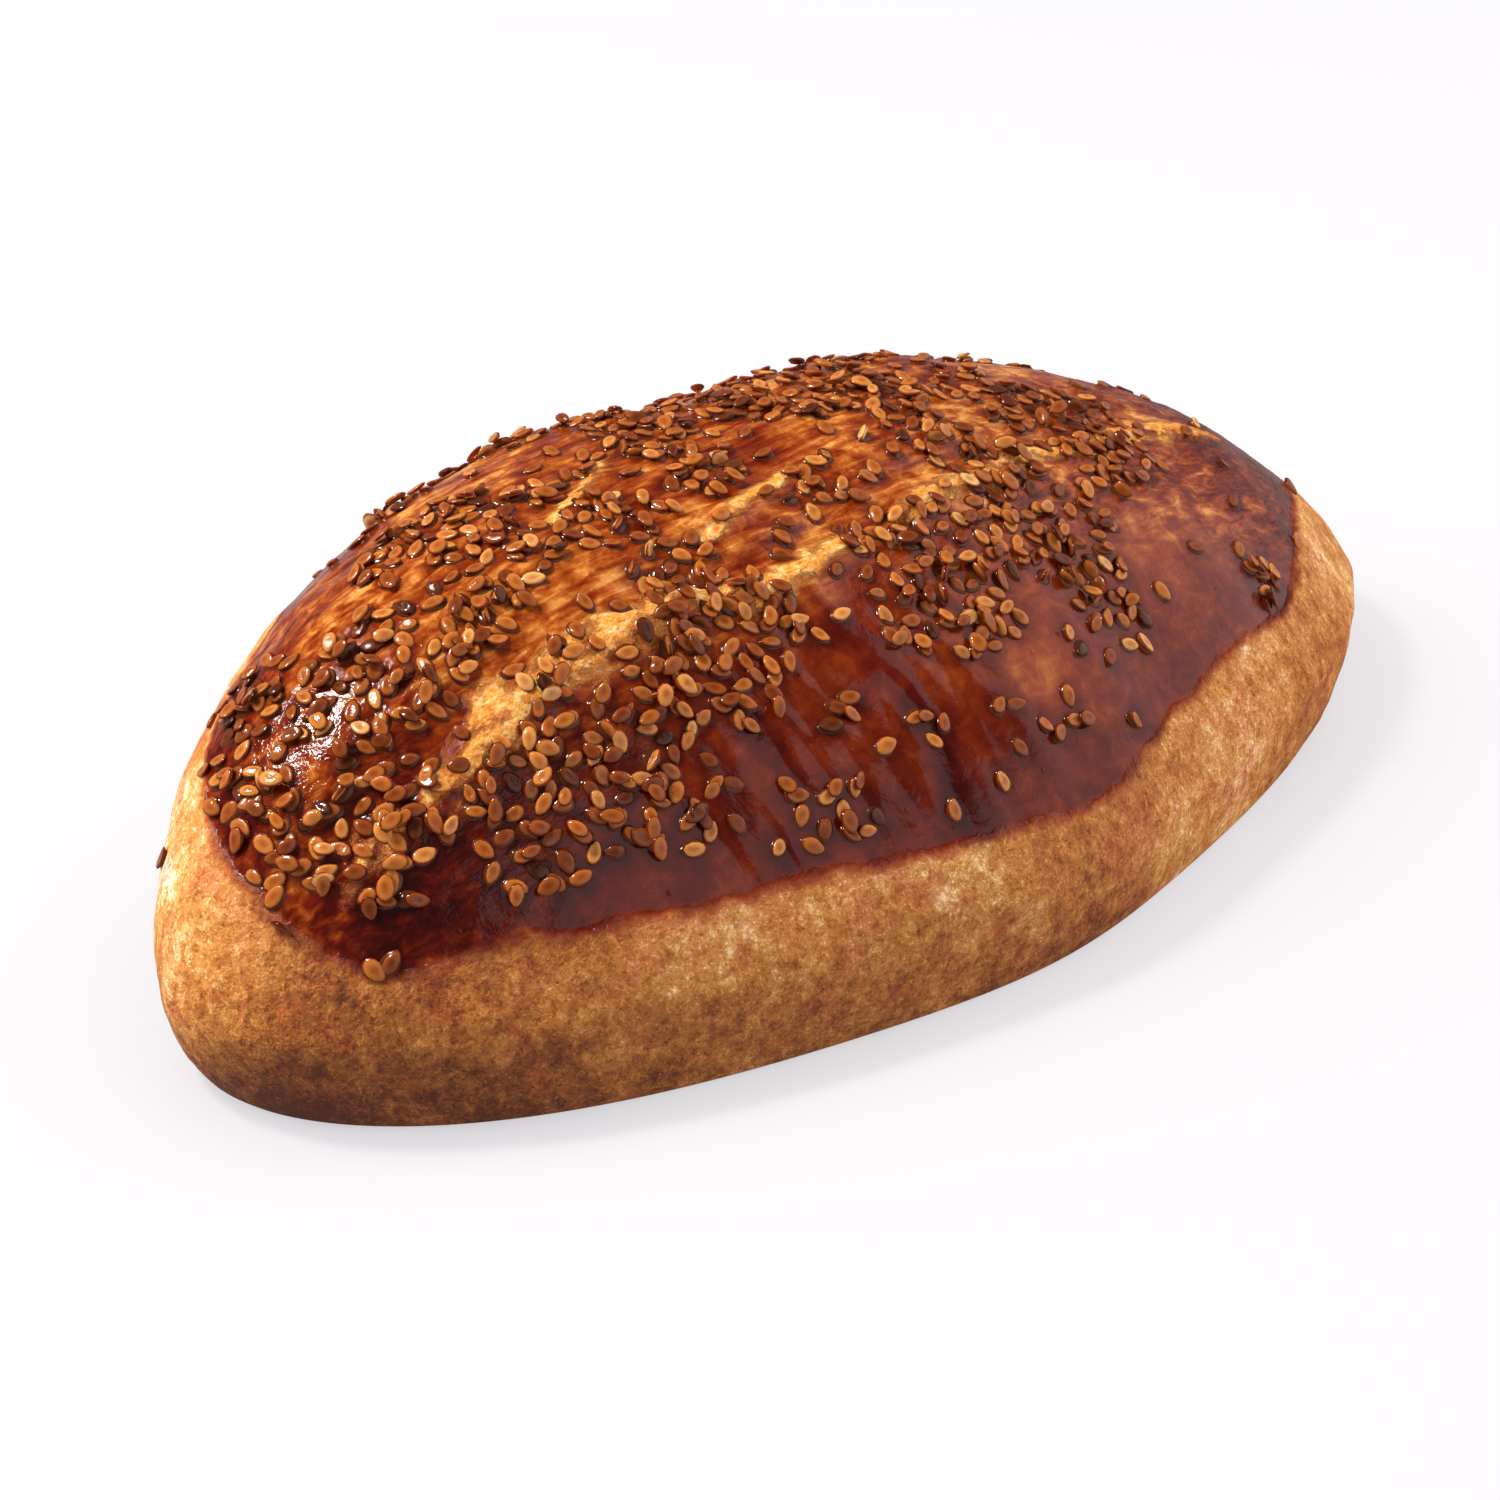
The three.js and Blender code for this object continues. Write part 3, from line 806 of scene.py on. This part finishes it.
def settle(seed, flat, tree):
    """Points of a seed laid down on what is under its ends and sides."""
    half = seed["length"] / 2
    axes = seed_axes(seed)
    long_reach = axes[:, 0] * half * 0.8
    wide_reach = axes[:, 1] * half * SEED_WIDTH_SHARE * 0.8
    rise = height_over(tree, seed, -long_reach) - height_over(tree, seed, long_reach)
    tip = height_over(tree, seed, wide_reach) - height_over(tree, seed, -wide_reach)
    seed["pitch"] = math.atan2(np.clip(rise, -1.2, 1.2), half * 1.6)
    seed["roll"] = math.atan2(np.clip(tip, -0.8, 0.8), half * SEED_WIDTH_SHARE * 1.6)
    points = seed["at"] + (flat * half) @ seed_axes(seed).T
    normal = Vector(seed["normal"])
    gaps = []
    for point in points:
        hit, _, _, far = tree.ray_cast((Vector(point) + normal * 5) * MM, -normal)
        gaps.append(far / MM - 5 if hit is not None else 5.0)
    return points - np.array(normal) * min(gaps)


def lay_on_skin(seed, flat, on_edge):
    """Points of a seed that lies on the crust, or stands there on its edge."""
    lift = SEED_LIFT
    if on_edge:
        seed["roll"] = ON_EDGE_ROLL
        lift = SEED_LIFT + ON_EDGE_LIFT * math.sin(ON_EDGE_ROLL)
    centre = seed["at"] + np.array(seed["normal"]) * lift
    return centre + (flat * seed["length"] / 2) @ seed_axes(seed).T


def seed_shape(draw):
    return {
        "thick": SEED_THICK_SHARE * (0.8 + 0.5 * draw()),
        "wide": SEED_WIDTH_SHARE * (0.9 + 0.25 * draw()),
        "dish": max(0.0, 0.85 * draw() - 0.15),
        "bend": 0.12 * (2 * draw() - 1),
        "curl": 0.12 * (2 * draw() - 1),
    }


def tree_of(points, faces):
    return BVHTree.FromPolygons((np.asarray(points) * MM).tolist(), faces)


def make_seeds(placed, crust, material):
    draw = make_random(RANDOM_START + 2)
    skin, skin_faces = crust
    skin_tree = tree_of(skin, skin_faces)
    template = lens_faces(SEED_AROUND, len(SEED_TOP_RINGS) + 1)
    points, faces, tones, edges = [], [], [], []

    def add_seed(flat, shape, laid):
        faces.extend(shifted(template, sum(len(p) for p in points)))
        points.append(laid)
        tones.append(np.full(len(flat), draw()))
        edges.append(np.clip(np.hypot(flat[:, 0], flat[:, 1] / shape["wide"]), 0, 1.2))

    placed = [seat(seed, skin_tree) for seed in placed]
    for seed in placed:
        on_edge = draw() < ON_EDGE_SHARE
        shape = seed_shape(draw)
        flat = seed_points(shape)
        add_seed(flat, shape, lay_on_skin(seed, flat, on_edge))

    both = tree_of(np.concatenate([skin, *points]), skin_faces + shifted(faces, len(skin)))
    for seed in leaning_seeds(placed, draw):
        seed = seat(seed, skin_tree)
        shape = seed_shape(draw)
        flat = seed_points(shape)
        add_seed(flat, shape, settle(seed, flat, both))

    seeds = mesh_object("sesame_seeds", np.concatenate(points), faces, material)
    add_attributes(seeds.data, {"tone": np.concatenate(tones), "edge": np.concatenate(edges)})
    return seeds


def add_seed_nearness(crust, seeds_at):
    """1 on the crust beside a seed, falling to 0 a few millimetres away."""
    tree = KDTree(len(seeds_at))
    for i, place in enumerate(seeds_at):
        tree.insert(place, i)
    tree.balance()
    far = np.array([tree.find(v.co / MM)[2] for v in crust.data.vertices])
    add_attributes(crust.data, {"seed_near": np.exp(-(far / SEED_NEAR_REACH) ** 2)})


# Glaze drawn up around the seeds that lie in it, dark enough to be partly painted shade under the seeds
POOL_AROUND = 16
POOL_RINGS = [{"grow": 0.0, "high": 0.2}, {"grow": 0.13, "high": 0.07}, {"grow": 0.34, "high": -0.07}]
POOL_UNDER = 0.3
POOL_SEED_SHARE = 0.92
POOL_UNEVEN = 0.35
SEED_NEAR_REACH = 2.4


def glaze_at(x, y):
    """1 where a plan place lies on unbroken glaze."""
    way = RIM_SHARE * (1 - 2 / math.pi * np.arccos(np.clip(plan_share(x, y), 0, 1)))
    edge = (glaze_edge_way(np.arctan2(y, x)) - way) * SKIN_PER_WAY
    return smoothstep(0, 1, edge) * (1 - tear_field(x, y, 0))


def pool_points(seed, phase, tree):
    """One lens: a middle, rings that lie on the skin around the seed, and a middle below."""
    angle = np.arange(POOL_AROUND) / POOL_AROUND * 2 * math.pi
    out_x, out_y = seed_outline(angle)
    uneven = 1 + POOL_UNEVEN * np.sin(angle + phase)
    half = seed["length"] / 2 * POOL_SEED_SHARE
    axes = seed_axes({**seed, "pitch": 0, "roll": 0})
    normal = np.array(seed["normal"])
    rows = [[seed["at"] + normal * POOL_RINGS[0]["high"]]]
    for row in POOL_RINGS:
        grow = row["grow"] * uneven
        flat = [out_x * (half + grow), out_y * (half * SEED_WIDTH_SHARE + grow), 0 * out_x]
        ring = []
        for point in seed["at"] + np.stack(flat, -1) @ axes.T:
            hit, _, _, _ = tree.ray_cast(Vector(point + normal * 3) * MM, -Vector(normal))
            base = np.array(hit) / MM if hit is not None else point
            ring.append(base + normal * row["high"])
        rows.append(ring)
    rows.append([seed["at"] - normal * POOL_UNDER])
    return np.concatenate(rows)


def make_pools(placed, tree, material):
    draw = make_random(RANDOM_START + 3)
    template = lens_faces(POOL_AROUND, len(POOL_RINGS))
    points, faces = [], []
    for seed in placed:
        phase = draw() * 2 * math.pi
        if glaze_at(*seed["plan"]) >= 0.5:
            faces.extend(shifted(template, len(points)))
            points.extend(pool_points(seed, phase, tree))
    return mesh_object("glaze_and_painted_shade_pools", points, faces, material)


# Materials

class Shader:
    """The node tree of a material or a world, built by short calls."""

    def __init__(self, owner):
        self.owner = owner
        owner.use_nodes = True
        self.tree = owner.node_tree
        self.surface = self.tree.nodes.get("Principled BSDF") or self.tree.nodes["Background"]

    def put(self, socket, value):
        if isinstance(value, bpy.types.NodeSocket):
            self.tree.links.new(value, socket)
        else:
            socket.default_value = value

    def set(self, name, value):
        """Sets or links a socket of the surface."""
        self.put(self.surface.inputs[name], value)

    def node(self, kind, inputs=None, **settings):
        made = self.tree.nodes.new(kind)
        for name, value in settings.items():
            setattr(made, name, value)
        for key, value in (inputs or {}).items():
            self.put(made.inputs[key], value)
        return made

    def attribute(self, name):
        return self.node("ShaderNodeAttribute", attribute_name=name).outputs["Fac"]

    def millimetres(self):
        """Object coordinates in millimetres."""
        return self.stretched(self.node("ShaderNodeTexCoord").outputs["Object"], (1 / MM,) * 3)

    def stretched(self, vector, scale):
        return self.node("ShaderNodeVectorMath", {0: vector, 1: scale}, operation="MULTIPLY").outputs[0]

    def dots(self, vector, size, radius):
        """Small round bumps, one to a cell of the given size, 1 in the middle."""
        inputs = {"Vector": vector, "Scale": 1 / size}
        far = self.node("ShaderNodeTexVoronoi", inputs).outputs["Distance"]
        return self.spread(far, 0.0, radius / size, 1.0, 0.0)

    def noise(self, vector, size, detail=3.0, rough=0.55, distortion=0.0):
        inputs = {"Vector": vector, "Scale": 1 / size, "Detail": detail,
                  "Roughness": rough, "Distortion": distortion}
        return self.node("ShaderNodeTexNoise", inputs).outputs["Fac"]

    def math(self, operation, a, b=0.0):
        return self.node("ShaderNodeMath", {0: a, 1: b}, operation=operation).outputs[0]

    def add(self, a, b):
        return self.math("ADD", a, b)

    def times(self, a, b):
        return self.math("MULTIPLY", a, b)

    def spread(self, value, low, high, to_low=0.0, to_high=1.0):
        """Smooth step of value from low to high, drawn to a new range."""
        inputs = {"Value": value, "From Min": low, "From Max": high,
                  "To Min": to_low, "To Max": to_high}
        return self.node("ShaderNodeMapRange", inputs, interpolation_type="SMOOTHSTEP").outputs[0]

    def blend(self, factor, a, b, kind="MIX"):
        inputs = {"Factor": factor, 6: a, 7: b}
        return self.node("ShaderNodeMix", inputs, data_type="RGBA", blend_type=kind).outputs[2]

    def tint(self, factor, a, b):
        return self.blend(factor, a, b, "MULTIPLY")

    def ramp(self, value, stops):
        """A colour that changes evenly between stops of a value."""
        made = self.node("ShaderNodeValToRGB", {"Fac": value})
        elements = made.color_ramp.elements
        while len(elements) < len(stops):
            elements.new(0.5)
        for element, (place, color) in zip(elements, stops):
            element.position = place
            element.color = color
        return made.outputs[0]

    def color(self, red, green, blue):
        return (red, green, blue, 1.0)

    def bump(self, height):
        """Normal of a relief whose height is in millimetres."""
        return self.node("ShaderNodeBump", {"Distance": MM, "Height": height}).outputs[0]


def down_the_side(s, way, squeeze):
    """A place on the skin, squeezed so that noise in it runs from the crown to the foot."""
    return s.node("ShaderNodeCombineXYZ", {
        "X": s.attribute("round_x"), "Y": s.attribute("round_y"), "Z": s.times(way, squeeze),
    }).outputs[0]


def bare_crust_color(s, mm, way):
    """Golden tan, flecked and streaked down the side, browner towards the floor, partly as painted
    shade.
    """
    streaks = s.noise(down_the_side(s, way, 40.0), 1.4, 5.0, 0.7, 0.5)
    blots = s.noise(mm, 1.8, 5.0, 0.75, 0.5)
    mottle = s.noise(mm, 6.0, 4.0, 0.6, 0.8)
    clouds = s.noise(mm, 17.0, 2.0, 0.5)
    pale_flecks = s.spread(s.noise(mm, 0.42, 3.0, 0.8), 0.54, 0.64, 0.0, 0.22)
    dark = s.noise(s.stretched(mm, (1.0, 1.0, 1.3)), 0.7, 3.0, 0.75)
    dark_flecks = s.spread(dark, 0.36, 0.46, -0.20, 0.0)
    value = s.add(s.times(streaks, 0.35), s.times(blots, 1.15))
    value = s.add(value, s.add(s.times(mottle, 0.75), s.times(clouds, 0.55)))
    value = s.add(value, s.add(pale_flecks, dark_flecks))
    value = s.add(value, s.spread(s.attribute("round_x"), -80.0, 60.0, -0.02, 0.10))
    # the paler field holds the crust's own baking along with painted shade towards the floor and
    # painted light and shade patches
    value = s.add(s.add(value, -1.37), s.attribute("paler"))
    tan = s.ramp(value, [
        (0.08, s.color(0.13, 0.026, 0.003)),
        (0.30, s.color(0.29, 0.074, 0.008)),
        (0.50, s.color(0.47, 0.152, 0.021)),
        (0.70, s.color(0.65, 0.272, 0.056)),
        (0.88, s.color(0.84, 0.450, 0.145)),
        (0.97, s.color(0.97, 0.760, 0.520)),
    ])
    hue = s.noise(mm, 8.0, 4.0, 0.6, 1.2)
    rosy = s.tint(s.spread(hue, 0.49, 0.64, 0.0, 0.85), tan, s.color(0.90, 0.66, 0.74))
    return s.tint(s.spread(hue, 0.36, 0.48, 0.7, 0.0), rosy, s.color(1.0, 0.95, 0.76))


def torn_crust_color(s, mm):
    """Pale crumbly crust where the skin stretched open."""
    grain = s.noise(s.stretched(mm, (0.6, 1.0, 1.0)), 0.9, 6.0, 0.75, 0.6)
    return s.ramp(grain, [
        (0.36, s.color(0.64, 0.160, 0.008)),
        (0.50, s.color(1.00, 0.420, 0.045)),
        (0.62, s.color(1.00, 0.780, 0.350)),
    ])


def glaze_filter(s, depth):
    """What a layer of glaze of that depth lets through."""
    channels = s.node("ShaderNodeCombineColor")
    for name, strength in (("Red", -0.8), ("Green", -1.62), ("Blue", -2.4)):
        s.put(channels.inputs[name], s.math("EXPONENT", s.times(depth, strength)))
    return channels.outputs[0]


def brushed_depth(s, mm, calm, glazed, thinned, torn):
    """The glaze's depth with its brush strokes, blotches and speckles, thin where torn."""
    brushed = s.add(s.noise(s.stretched(mm, (0.2, 1.0, 1.0)), 1.4, 4.0, 0.55, 0.6), -0.5)
    blotches = s.add(s.noise(mm, 3.4, 4.0, 0.55, 0.8), -0.5)
    speckle = s.add(s.noise(mm, 0.5, 3.0, 0.65), -0.5)
    depth = s.add(s.attribute("glaze_depth"), s.times(brushed, s.spread(calm, 0.0, 1.0, 4.6, 0.7)))
    depth = s.add(depth, s.times(blotches, s.spread(calm, 0.0, 1.0, 2.6, 2.0)))
    depth = s.add(depth, s.times(speckle, s.spread(calm, 0.0, 1.0, 0.5, 0.2)))
    # darker glaze beside the seeds: glaze pooled there, and painted shade between and under the seeds
    depth = s.add(depth, s.times(s.attribute("seed_near"), 0.95))
    depth = s.times(s.math("MAXIMUM", depth, 0.12), glazed)
    depth = s.times(depth, s.math("SUBTRACT", 1.0, s.times(thinned, 0.72)))
    return s.times(depth, s.math("SUBTRACT", 1.0, s.times(torn, 0.75)))


def crust_roughness(s, mm, gloss, satin):
    dull = s.noise(mm, 2.2, 3.0)
    rough = s.spread(gloss, 0.0, 1.0, 0.60, 0.05)
    rough = s.add(rough, s.times(s.attribute("wrinkled"), 0.07))
    return s.add(s.add(rough, satin), s.times(dull, 0.05))


def bare_bumps(s, mm, way, grain):
    """Grain, dimples, and folds that deepen towards the slim end."""
    dimples = s.noise(mm, 2.4, 4.0, 0.6, 0.6)
    folds = s.noise(down_the_side(s, way, 22.0), 3.0, 3.0, 0.55, 0.8)
    fold_height = s.spread(s.attribute("round_x"), -30.0, 70.0, 0.15, 1.0)
    return s.add(s.times(grain, 0.24), s.add(s.times(dimples, 0.55), s.times(folds, fold_height)))


def glaze_bumps(s, mm, calm, grain, satin):
    """Ripples, lumps, wrinkles, grain and small bubbles of the glaze."""
    ripple = s.noise(s.stretched(mm, (0.35, 1.0, 1.0)), 1.0, 3.0, 0.55, 0.6)
    lumps = s.noise(mm, 2.6, 3.0, 0.55, 0.4)
    creases = s.noise(s.stretched(mm, (0.16, 1.0, 1.0)), 1.3, 3.0, 0.6, 1.0)
    high = s.times(ripple, s.spread(calm, 0.0, 1.0, 0.08, 0.015))
    high = s.add(high, s.times(lumps, s.add(s.spread(calm, 0.0, 1.0, 0.20, 0.07), satin)))
    high = s.add(high, s.times(s.times(creases, s.attribute("wrinkled")), 0.35))
    high = s.add(high, s.times(grain, s.spread(calm, 0.0, 1.0, 0.05, 0.01)))
    return s.add(high, s.times(s.dots(mm, 5.0, 0.45), 0.20))


def crust_bumps(s, mm, way, calm, gloss, satin, tear):
    """The crust's relief that is too fine for its mesh, in millimetres."""
    grain = s.noise(mm, 0.6, 4.0, 0.6)
    crackle = s.noise(mm, 0.9, 6.0, 0.75, 0.8)
    high = s.times(bare_bumps(s, mm, way, grain), s.math("SUBTRACT", 1.0, gloss))
    high = s.add(high, s.times(s.times(crackle, s.spread(tear, 0.3, 0.9)), 0.30))
    return s.add(high, s.times(glaze_bumps(s, mm, calm, grain, satin), gloss))


def make_crust_material():
    s = Shader(bpy.data.materials.new("crust_glazed"))
    mm = s.millimetres()
    way = s.attribute("way")
    calm = s.attribute("calm")
    edge_noise = s.add(s.noise(mm, 3.0, 4.0, 0.55, 0.5), -0.5)
    edge = s.add(s.attribute("glaze_edge"), s.times(edge_noise, 2.0))
    glazed = s.spread(edge, -1.2, 1.4)
    tear_noise = s.add(s.noise(mm, 1.2, 5.0, 0.7), -0.5)
    tear = s.add(s.times(s.attribute("tear"), 0.95), s.times(tear_noise, 1.4))
    torn = s.spread(tear, 0.62, 0.95)
    thinned = s.spread(tear, 0.10, 0.55)
    crust_color = bare_crust_color(s, mm, way)
    base = s.blend(glazed, crust_color, s.blend(0.6, crust_color, s.color(0.80, 0.37, 0.085)))
    base = s.blend(torn, base, torn_crust_color(s, mm))
    depth = brushed_depth(s, mm, calm, glazed, thinned, torn)
    s.set("Base Color", s.tint(1.0, base, glaze_filter(s, depth)))
    gloss = s.times(s.spread(edge, -0.4, 1.2), s.math("SUBTRACT", 1.0, s.spread(tear, 0.25, 0.8)))
    satin = s.spread(s.attribute("round_x"), 0.0, 60.0, 0.0, 0.11)
    s.set("Roughness", crust_roughness(s, mm, gloss, satin))
    s.surface.inputs["IOR"].default_value = 1.45
    s.set("Normal", s.bump(crust_bumps(s, mm, way, calm, gloss, satin, tear)))
    return s.owner


def make_seed_material():
    s = Shader(bpy.data.materials.new("seed_toasted"))
    mm = s.millimetres()
    edge = s.attribute("edge")
    body = s.ramp(s.attribute("tone"), [
        (0.00, s.color(0.06, 0.014, 0.004)),
        (0.10, s.color(0.20, 0.042, 0.007)),
        (0.35, s.color(0.32, 0.082, 0.013)),
        (0.78, s.color(0.49, 0.155, 0.024)),
        (0.97, s.color(0.64, 0.265, 0.058)),
        (1.00, s.color(0.76, 0.430, 0.140)),
    ])
    # painted shade: each seed darker at its outer edge and in its dished middle, lighter in a ring
    # between
    painted_edge_and_hollow_shade = s.times(s.spread(edge, 0.80, 0.98, 1.0, 0.34), s.spread(edge, 0.05, 0.70, 0.68, 1.0))
    body = s.tint(1.0, body, s.node("ShaderNodeCombineColor", {
        "Red": painted_edge_and_hollow_shade, "Green": s.times(painted_edge_and_hollow_shade, painted_edge_and_hollow_shade), "Blue": s.times(painted_edge_and_hollow_shade, painted_edge_and_hollow_shade)}).outputs[0])
    cloud = s.noise(mm, 0.9, 3.0, 0.6)
    body = s.blend(s.spread(cloud, 0.5, 0.75, 0.0, 0.4), body, s.color(0.16, 0.045, 0.012))
    s.set("Base Color", body)
    s.set("Roughness", s.spread(cloud, 0.3, 0.7, 0.07, 0.20))
    s.surface.inputs["IOR"].default_value = 1.45
    s.set("Normal", s.bump(s.times(s.noise(mm, 0.5, 2.0), 0.06)))
    return s.owner


def make_pool_material():
    s = Shader(bpy.data.materials.new("thick_glaze_and_painted_shade"))
    shade = s.noise(s.millimetres(), 1.4, 2.0)
    # near-black red-brown: thick glaze, and partly painted shade under the seeds
    tone = s.blend(shade, s.color(0.05, 0.009, 0.003), s.color(0.15, 0.034, 0.006))
    s.set("Base Color", tone)
    s.surface.inputs["Roughness"].default_value = 0.12
    s.surface.inputs["IOR"].default_value = 1.47
    return s.owner


# Floor, lights and camera

def make_floor():
    """A white floor that also glows a little, so that the shadow on it stays faint; its glow dims
    beside the roll as a painted contact shadow.
    """
    s = Shader(bpy.data.materials.new("floor_white"))
    painted_shadow_openness = s.node("ShaderNodeAmbientOcclusion", {"Distance": 0.14}, samples=8).outputs["AO"]
    s.set("Base Color", s.color(FLOOR_TONE, FLOOR_TONE, FLOOR_TONE))
    s.set("Roughness", 0.9)
    s.surface.inputs["Specular IOR Level"].default_value = 0.0
    s.set("Emission Color", s.color(0.985, 0.965, 1.0))
    # painted contact shadow: the glow dims beside the roll
    glow = s.add(s.times(painted_shadow_openness, FLOOR_GLOW_OPEN), FLOOR_GLOW)
    path = s.node("ShaderNodeLightPath").outputs
    share = s.spread(path["Is Camera Ray"], 0.0, 1.0, 0.68, 1.0)
    share = s.add(share, s.times(path["Is Glossy Ray"], -0.44))
    s.set("Emission Strength", s.times(glow, share))
    half = FLOOR_HALF
    corners = [(-half, -half, 0), (half, -half, 0), (half, half, 0), (-half, half, 0)]
    floor = mesh_object("floor", corners, [(0, 1, 2, 3)], s.owner)


def direction(azimuth, elevation):
    """A unit vector, from degrees round from +X and degrees up."""
    a, e = math.radians(azimuth), math.radians(elevation)
    return Vector((math.cos(a) * math.cos(e), math.sin(a) * math.cos(e), math.sin(e)))


def stand_and_aim(piece, place, ahead):
    piece.location = place
    piece.rotation_mode = "QUATERNION"
    piece.rotation_quaternion = ahead.to_track_quat("-Z", "Y")
    bpy.context.scene.collection.objects.link(piece)


def make_light(name, azimuth, elevation, far, size, radiance, tint, mirrored=False):
    """A rectangular soft light that shines at the roll from a direction in degrees."""
    away = direction(azimuth, elevation)
    light = bpy.data.lights.new(name, "AREA")
    light.shape = "RECTANGLE"
    light.size, light.size_y = size
    light.energy = radiance * math.pi * size[0] * size[1]
    light.color = tint
    lamp = bpy.data.objects.new(name, light)
    lamp.visible_glossy = mirrored
    stand_and_aim(lamp, LIGHTS_AIM + away * far, -away)


def make_lights():
    make_light("key", 137, 58, 0.85, (0.13, 0.13), 127.0, (1.0, 0.98, 0.95), mirrored=True)
    make_light("back_soft", 142, 34, 0.9, (0.6, 0.5), 7.2, (1.0, 0.98, 0.95))
    make_light("right_fill", -16, 32, 0.9, (0.6, 0.6), 3.9, (1.0, 0.95, 0.90))
    make_light("front_fill", -60, 12, 0.9, (0.8, 0.4), 1.6, (1.0, 0.97, 0.94))


def make_world():
    """A dim studio with a low wall behind the roll and a tall notched one beside it."""
    s = Shader(bpy.data.worlds.new("studio"))
    way = s.node("ShaderNodeTexCoord").outputs["Generated"]
    level = s.node("ShaderNodeSeparateXYZ", {0: way}).outputs["Z"]
    level_way = {0: s.stretched(way, (1, 1, 0))}
    flat = s.node("ShaderNodeVectorMath", level_way, operation="NORMALIZE").outputs[0]

    def towards(azimuth):
        inputs = {0: flat, 1: direction(azimuth, 0)}
        return s.node("ShaderNodeVectorMath", inputs, operation="DOT_PRODUCT").outputs["Value"]

    back_wall = s.spread(towards(BACK_WALL_AZIMUTH), 0.1, 0.9)
    back_wall = s.times(back_wall, s.spread(level, 0.12, 0.42, 1.0, 0.0))
    side_wall = s.spread(towards(SIDE_WALL_AZIMUTH), 0.44, 0.66)
    side_wall = s.times(side_wall, s.spread(level, 0.72, 0.78, 1.0, 0.0))
    notch = s.spread(towards(NOTCH_AZIMUTH), 0.970, 0.982)
    notch = s.times(notch, s.spread(level, 0.40, 0.50))
    side_wall = s.times(side_wall, s.math("SUBTRACT", 1.0, notch))
    light = s.add(s.times(back_wall, BACK_WALL_LIGHT), s.times(side_wall, SIDE_WALL_LIGHT))
    s.set("Strength", s.add(light, STUDIO_LIGHT))
    s.set("Color", s.color(0.97, 0.95, 1.0))
    bpy.context.scene.world = s.owner


def make_camera():
    data = bpy.data.cameras.new("camera")
    data.sensor_width = CAMERA_SENSOR
    data.lens = CAMERA_LENS
    data.clip_start = 0.01
    camera = bpy.data.objects.new("camera", data)
    stand_and_aim(camera, Vector(CAMERA_PLACE) * MM, direction(CAMERA_AZIMUTH, CAMERA_ELEVATION))
    bpy.context.scene.camera = camera


def make_roll():
    crust, skin = make_crust(make_crust_material())
    placed = scatter_seeds() + edge_seeds()
    seeds = make_seeds(placed, skin, make_seed_material())
    pools = make_pools(placed, tree_of(*skin), make_pool_material())
    add_seed_nearness(crust, [Vector(seed["at"]) for seed in placed])
    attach(crust, "root")
    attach(seeds, "root")
    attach(pools, "root")
    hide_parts("bread_roll")


make_floor()
make_world()
make_lights()
make_camera()
make_roll()
bpy.context.scene.view_settings.view_transform = "Standard"
